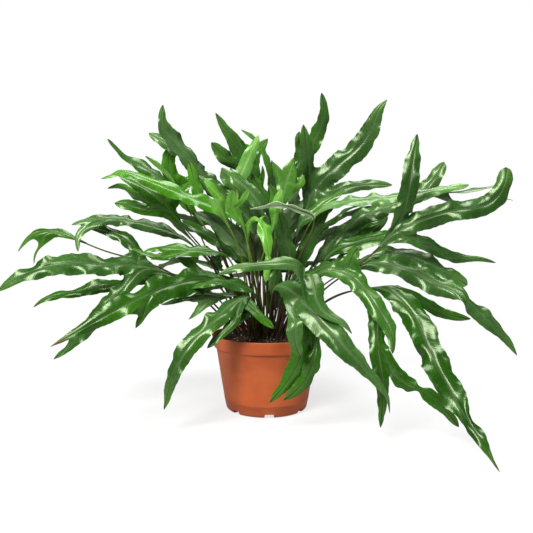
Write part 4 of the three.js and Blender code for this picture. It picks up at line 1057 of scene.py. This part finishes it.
def turned(name, profile, sides, closed=False):
    """A solid of revolution, extruded ring by ring along its (radius, height) profile."""
    radius, height = profile[0]
    piece = primitive(name, bpy.ops.mesh.primitive_circle_add, vertices=sides, radius=radius)
    bpy.ops.object.mode_set(mode="EDIT")
    bpy.ops.mesh.select_all(action="SELECT")
    bpy.ops.transform.translate(value=(0, 0, height))
    for next_radius, next_height in profile[1:]:
        bpy.ops.mesh.extrude_region_move(TRANSFORM_OT_translate={"value": (0, 0, next_height - height)})
        factor = next_radius / radius
        bpy.ops.transform.resize(value=(factor, factor, 1), center_override=(0, 0, 0))
        radius, height = next_radius, next_height
    if closed:
        bpy.ops.mesh.select_all(action="SELECT")
        bpy.ops.mesh.remove_doubles(threshold=0.001 * MM)
    else:
        bpy.ops.mesh.edge_face_add()
        bpy.ops.mesh.select_all(action="DESELECT")
        bpy.ops.mesh.select_non_manifold(extend=False)
        bpy.ops.mesh.edge_face_add()
    bpy.ops.mesh.select_all(action="SELECT")
    bpy.ops.mesh.normals_make_consistent(inside=False)
    bpy.ops.object.mode_set(mode="OBJECT")
    return piece


def cut(piece, cutter):
    apply_modifier(piece, "BOOLEAN", operation="DIFFERENCE", solver="EXACT", object=cutter)
    bpy.data.objects.remove(cutter, do_unlink=True)


def recess_cutter():
    """The hollow ring under the floor."""
    inner, outer = RECESS_INNER, RECESS_OUTER
    profile = [(inner, -SPARE), (outer, -SPARE), (outer, RECESS_TOP), (inner, RECESS_TOP), (inner, -SPARE)]
    return turned("recess", profile, POT_SIDES, closed=True)


def notch_cutter(bearing):
    """A low wide opening with rounded upper corners through the foot's ring."""
    cutter = primitive("notch", bpy.ops.mesh.primitive_cube_add, size=1)
    bpy.ops.object.mode_set(mode="EDIT")
    bpy.ops.mesh.select_all(action="SELECT")
    inner = RECESS_OUTER - SPARE
    length = FOOT + 2 * SPARE - inner
    height = RECESS_TOP + SPARE
    bpy.ops.transform.resize(value=(length, NOTCH_WIDTH, height), center_override=(0, 0, 0))
    bpy.ops.mesh.select_all(action="DESELECT")
    bm = bmesh.from_edit_mesh(cutter.data)
    for edge in bm.edges:
        edge.select = all(v.co.z > 0 for v in edge.verts) and edge.verts[0].co.y * edge.verts[1].co.y > 0
    bm.select_flush_mode()
    bmesh.update_edit_mesh(cutter.data)
    bpy.ops.mesh.bevel(offset=1.6 * MM, segments=4)
    bpy.ops.mesh.select_all(action="SELECT")
    bpy.ops.transform.translate(value=(inner + length / 2, 0, RECESS_TOP - height / 2))
    bpy.ops.transform.rotate(value=-bearing, orient_axis="Z", center_override=(0, 0, 0))
    bpy.ops.object.mode_set(mode="OBJECT")
    return cutter


def drain_cutter(bearing):
    away = (RECESS_INNER + RECESS_OUTER) / 2
    spot = (away * math.cos(bearing), away * math.sin(bearing), FLOOR / 2)
    size = {"vertices": 20, "radius": DRAIN, "depth": FLOOR + 2 * SPARE}
    return primitive("drain", bpy.ops.mesh.primitive_cylinder_add, spot, **size)


def plastic_material():
    """Satin terracotta plastic: faintly mottled, with painted shade darkening it low down towards the floor.
    """
    material, tree, shader = new_material("pot_plastic")
    place = tree.place()
    height = tree.add("ShaderNodeSeparateXYZ", Vector=place).outputs["Z"]
    cloud = tree.noise(place, 26.0, 4.0)
    grain = tree.noise(place, 900.0, 2.0)
    stretched = tree.add("ShaderNodeMapping", Vector=place, Scale=(40, 40, 260)).outputs[0]
    streak = tree.noise(stretched, 1.0, 2.0)
    colour = tree.blend(tree.ramp(cloud, 0.3, 0.7), POT_DEEP, POT_CLEAR)
    colour = tree.blend(tree.times(tree.ramp(streak, 0.4, 0.8), 0.25), colour, POT_STREAK)
    # painted shade: the colour darkens over the lowest 30 mm, towards the floor
    dark = tree.times(tree.ramp(height, 0.0, 30 * MM, 1.0, 0.0), 0.45)
    colour = tree.blend(dark, colour, POT_PAINTED_SHADE)
    tree.set(shader.inputs["Base Color"], colour)
    tree.set(shader.inputs["Roughness"], tree.ramp(cloud, 0.2, 0.8, 0.42, 0.54))
    shader.inputs["Specular IOR Level"].default_value = 0.35
    shader.inputs["Subsurface Weight"].default_value = 0.06
    shader.inputs["Subsurface Scale"].default_value = 4 * MM
    bump(tree, shader, tree.plus(grain, streak, 0.8), 0.12, 0.3 * MM)
    return material


def add_pot():
    piece = turned("nursery_pot", pot_profile(), POT_SIDES)
    cut(piece, recess_cutter())
    for number in range(NOTCHES):
        bearing = FIRST_NOTCH + number * 2 * math.pi / NOTCHES
        cut(piece, notch_cutter(bearing))
        cut(piece, drain_cutter(bearing))
    apply_modifier(piece, "BEVEL", width=0.35 * MM, segments=2, limit_method="ANGLE", angle_limit=SHARP)
    only(piece)
    bpy.ops.object.shade_smooth_by_angle(angle=POT_SHARP)
    piece.data.materials.append(plastic_material())
    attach(piece, "root")
    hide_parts("pot")


# ---------------------------------------------------------------- the soil

SOIL_SIDES = 110
SOIL_EDGE = 104.0 * MM
SOIL_CROWN = 110.0 * MM
SOIL_GAP = 0.5 * MM
SOIL_RINGS = 44
CRUMBS = {  # how many, length in millimetres, width and depth as shares of it, the kind of colour
    "bark": (620, (2.2, 6.0), (0.35, 0.7), (0.25, 0.4), 1),
    "peat": (520, (0.9, 2.6), (0.7, 1.0), (0.6, 0.9), 0),
    "perlite": (150, (0.7, 2.3), (0.7, 1.0), (0.7, 1.0), 2),
    "straw": (60, (4.0, 11.0), (0.08, 0.14), (0.06, 0.1), 3),
    "moss": (22, (1.0, 2.4), (0.5, 0.9), (0.3, 0.5), 4),
}
CRUMB_SEED = 41
EARTH_DARK = (0.012, 0.007, 0.005)
EARTH_LIGHT = (0.05, 0.028, 0.016)
EARTH_DAMP = (0.02, 0.012, 0.009)
CRUMB_COLOURS = {  # by kind; a crumb of kind 0 has the earth's own
    1: (0.075, 0.038, 0.018),
    2: (0.62, 0.58, 0.5),
    3: (0.32, 0.2, 0.09),
    4: (0.16, 0.24, 0.04),
}


def bore_radius(z):
    collar = RIM_HEIGHT - COLLAR_HEIGHT
    if z <= collar:
        return wall_radius(z) - WALL
    share = (z - collar) / COLLAR_HEIGHT
    low = wall_radius(collar) - WALL
    return low + (RIM - 1.2 * MM - WALL - low) * share


def soil_height(radius):
    share = min(radius / (bore_radius(SOIL_EDGE) - SOIL_GAP), 1)
    return SOIL_EDGE + (SOIL_CROWN - SOIL_EDGE) * (1 - share * share)


def soil_material():
    """Dark damp potting mix; each crumb carries its own kind."""
    material, tree, shader = new_material("potting_mix")
    place = tree.place()
    kind = tree.attribute("kind")
    fine = tree.noise(place, 520.0, 4.0, 0.7)
    broad = tree.noise(place, 60.0, 2.0)
    colour = tree.blend(tree.ramp(fine, 0.35, 0.7), EARTH_DARK, EARTH_LIGHT)
    colour = tree.blend(tree.times(broad, 0.5), colour, EARTH_DAMP)
    for number, shade in CRUMB_COLOURS.items():
        here = tree.math("COMPARE", kind, float(number), 0.4)
        lit = tree.blend(tree.ramp(fine, 0.3, 0.75, 0.0, 0.45), shade, tuple(0.45 * c for c in shade))
        colour = tree.blend(here, colour, lit)
    tree.set(shader.inputs["Base Color"], colour)
    tree.set(shader.inputs["Roughness"], tree.ramp(fine, 0.2, 0.8, 0.7, 0.95))
    shader.inputs["Specular IOR Level"].default_value = 0.3
    bump(tree, shader, fine, 0.8, 0.8 * MM)
    return material


def crumb_shape(name, draw):
    """One rough lump of 20 faces, about a millimetre across."""
    lump = primitive(name, bpy.ops.mesh.primitive_ico_sphere_add, subdivisions=1, radius=0.5 * MM)
    for vertex in lump.data.vertices:
        vertex.co *= draw.uniform(0.7, 1.25)
    return lump


def placing(size, turn, spot):
    """The matrix that sizes a lump, turns it and lays it at its spot."""
    scale = Matrix.Diagonal((*size, 1))
    return Matrix.Translation(spot) @ Euler(turn).to_matrix().to_4x4() @ scale


def add_crumbs(ground):
    """Bark, peat, perlite, straw and moss lying on the soil, as one mesh."""
    draw = random.Random(CRUMB_SEED)
    shapes = [crumb_shape(f"lump_{i}", draw) for i in range(4)]
    reach = bore_radius(SOIL_EDGE) - 2 * MM
    made = []
    for name, (count, lengths, widths, depths, kind) in CRUMBS.items():
        for _ in range(count):
            lump = link(name, draw.choice(shapes).data.copy())
            length = draw.uniform(*lengths)
            size = Vector((length, length * draw.uniform(*widths), length * draw.uniform(*depths)))
            away = reach * math.sqrt(draw.random())
            bearing = draw.uniform(0, 2 * math.pi)
            turn = Vector((draw.gauss(0, 0.25), draw.gauss(0, 0.25), draw.uniform(0, 2 * math.pi)))
            spot = Vector((away * math.cos(bearing), away * math.sin(bearing), 0))
            spot.z = soil_height(away) + size.z * MM * draw.uniform(0.0, 0.4)
            lump.data.transform(placing(size, turn, spot))
            set_attributes(lump.data, kind=float(kind))
            made.append(lump)
    for lump in shapes:
        bpy.data.objects.remove(lump, do_unlink=True)
    bpy.ops.object.select_all(action="DESELECT")
    for lump in [*made, ground]:
        lump.select_set(True)
    bpy.context.view_layer.objects.active = ground
    bpy.ops.object.join()


def add_soil():
    top = bore_radius(SOIL_EDGE) - SOIL_GAP
    low = bore_radius(FLOOR + 1 * MM) - SOIL_GAP
    collar = RIM_HEIGHT - COLLAR_HEIGHT
    profile = [(low, FLOOR + 1 * MM), (bore_radius(collar) - SOIL_GAP, collar), (top, SOIL_EDGE)]
    for ring in range(SOIL_RINGS - 1, 0, -1):
        radius = top * ring / SOIL_RINGS
        profile.append((radius, soil_height(radius)))
    ground = turned("potting_mix", profile, SOIL_SIDES)
    mesh = ground.data
    points = points_of(mesh)
    away = np.hypot(points[:, 0], points[:, 1])
    on_top = (points[:, 2] > SOIL_EDGE - 1e-5) & (away < top - 1 * MM)
    bumps = 1.0 * soft_noise(points, 9 * MM, 3) + 0.8 * soft_noise(points, 4 * MM, 4)
    points[:, 2] += on_top * bumps * MM
    set_points(mesh, points)
    set_attributes(mesh, kind=0.0)
    add_crumbs(ground)
    only(ground)
    bpy.ops.object.shade_flat()
    ground.data.materials.append(soil_material())
    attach(ground, "root")
    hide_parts("soil")


add_camera()
add_studio()
add_floor()
add_pot()
add_soil()
add_fronds(leaf_materials())
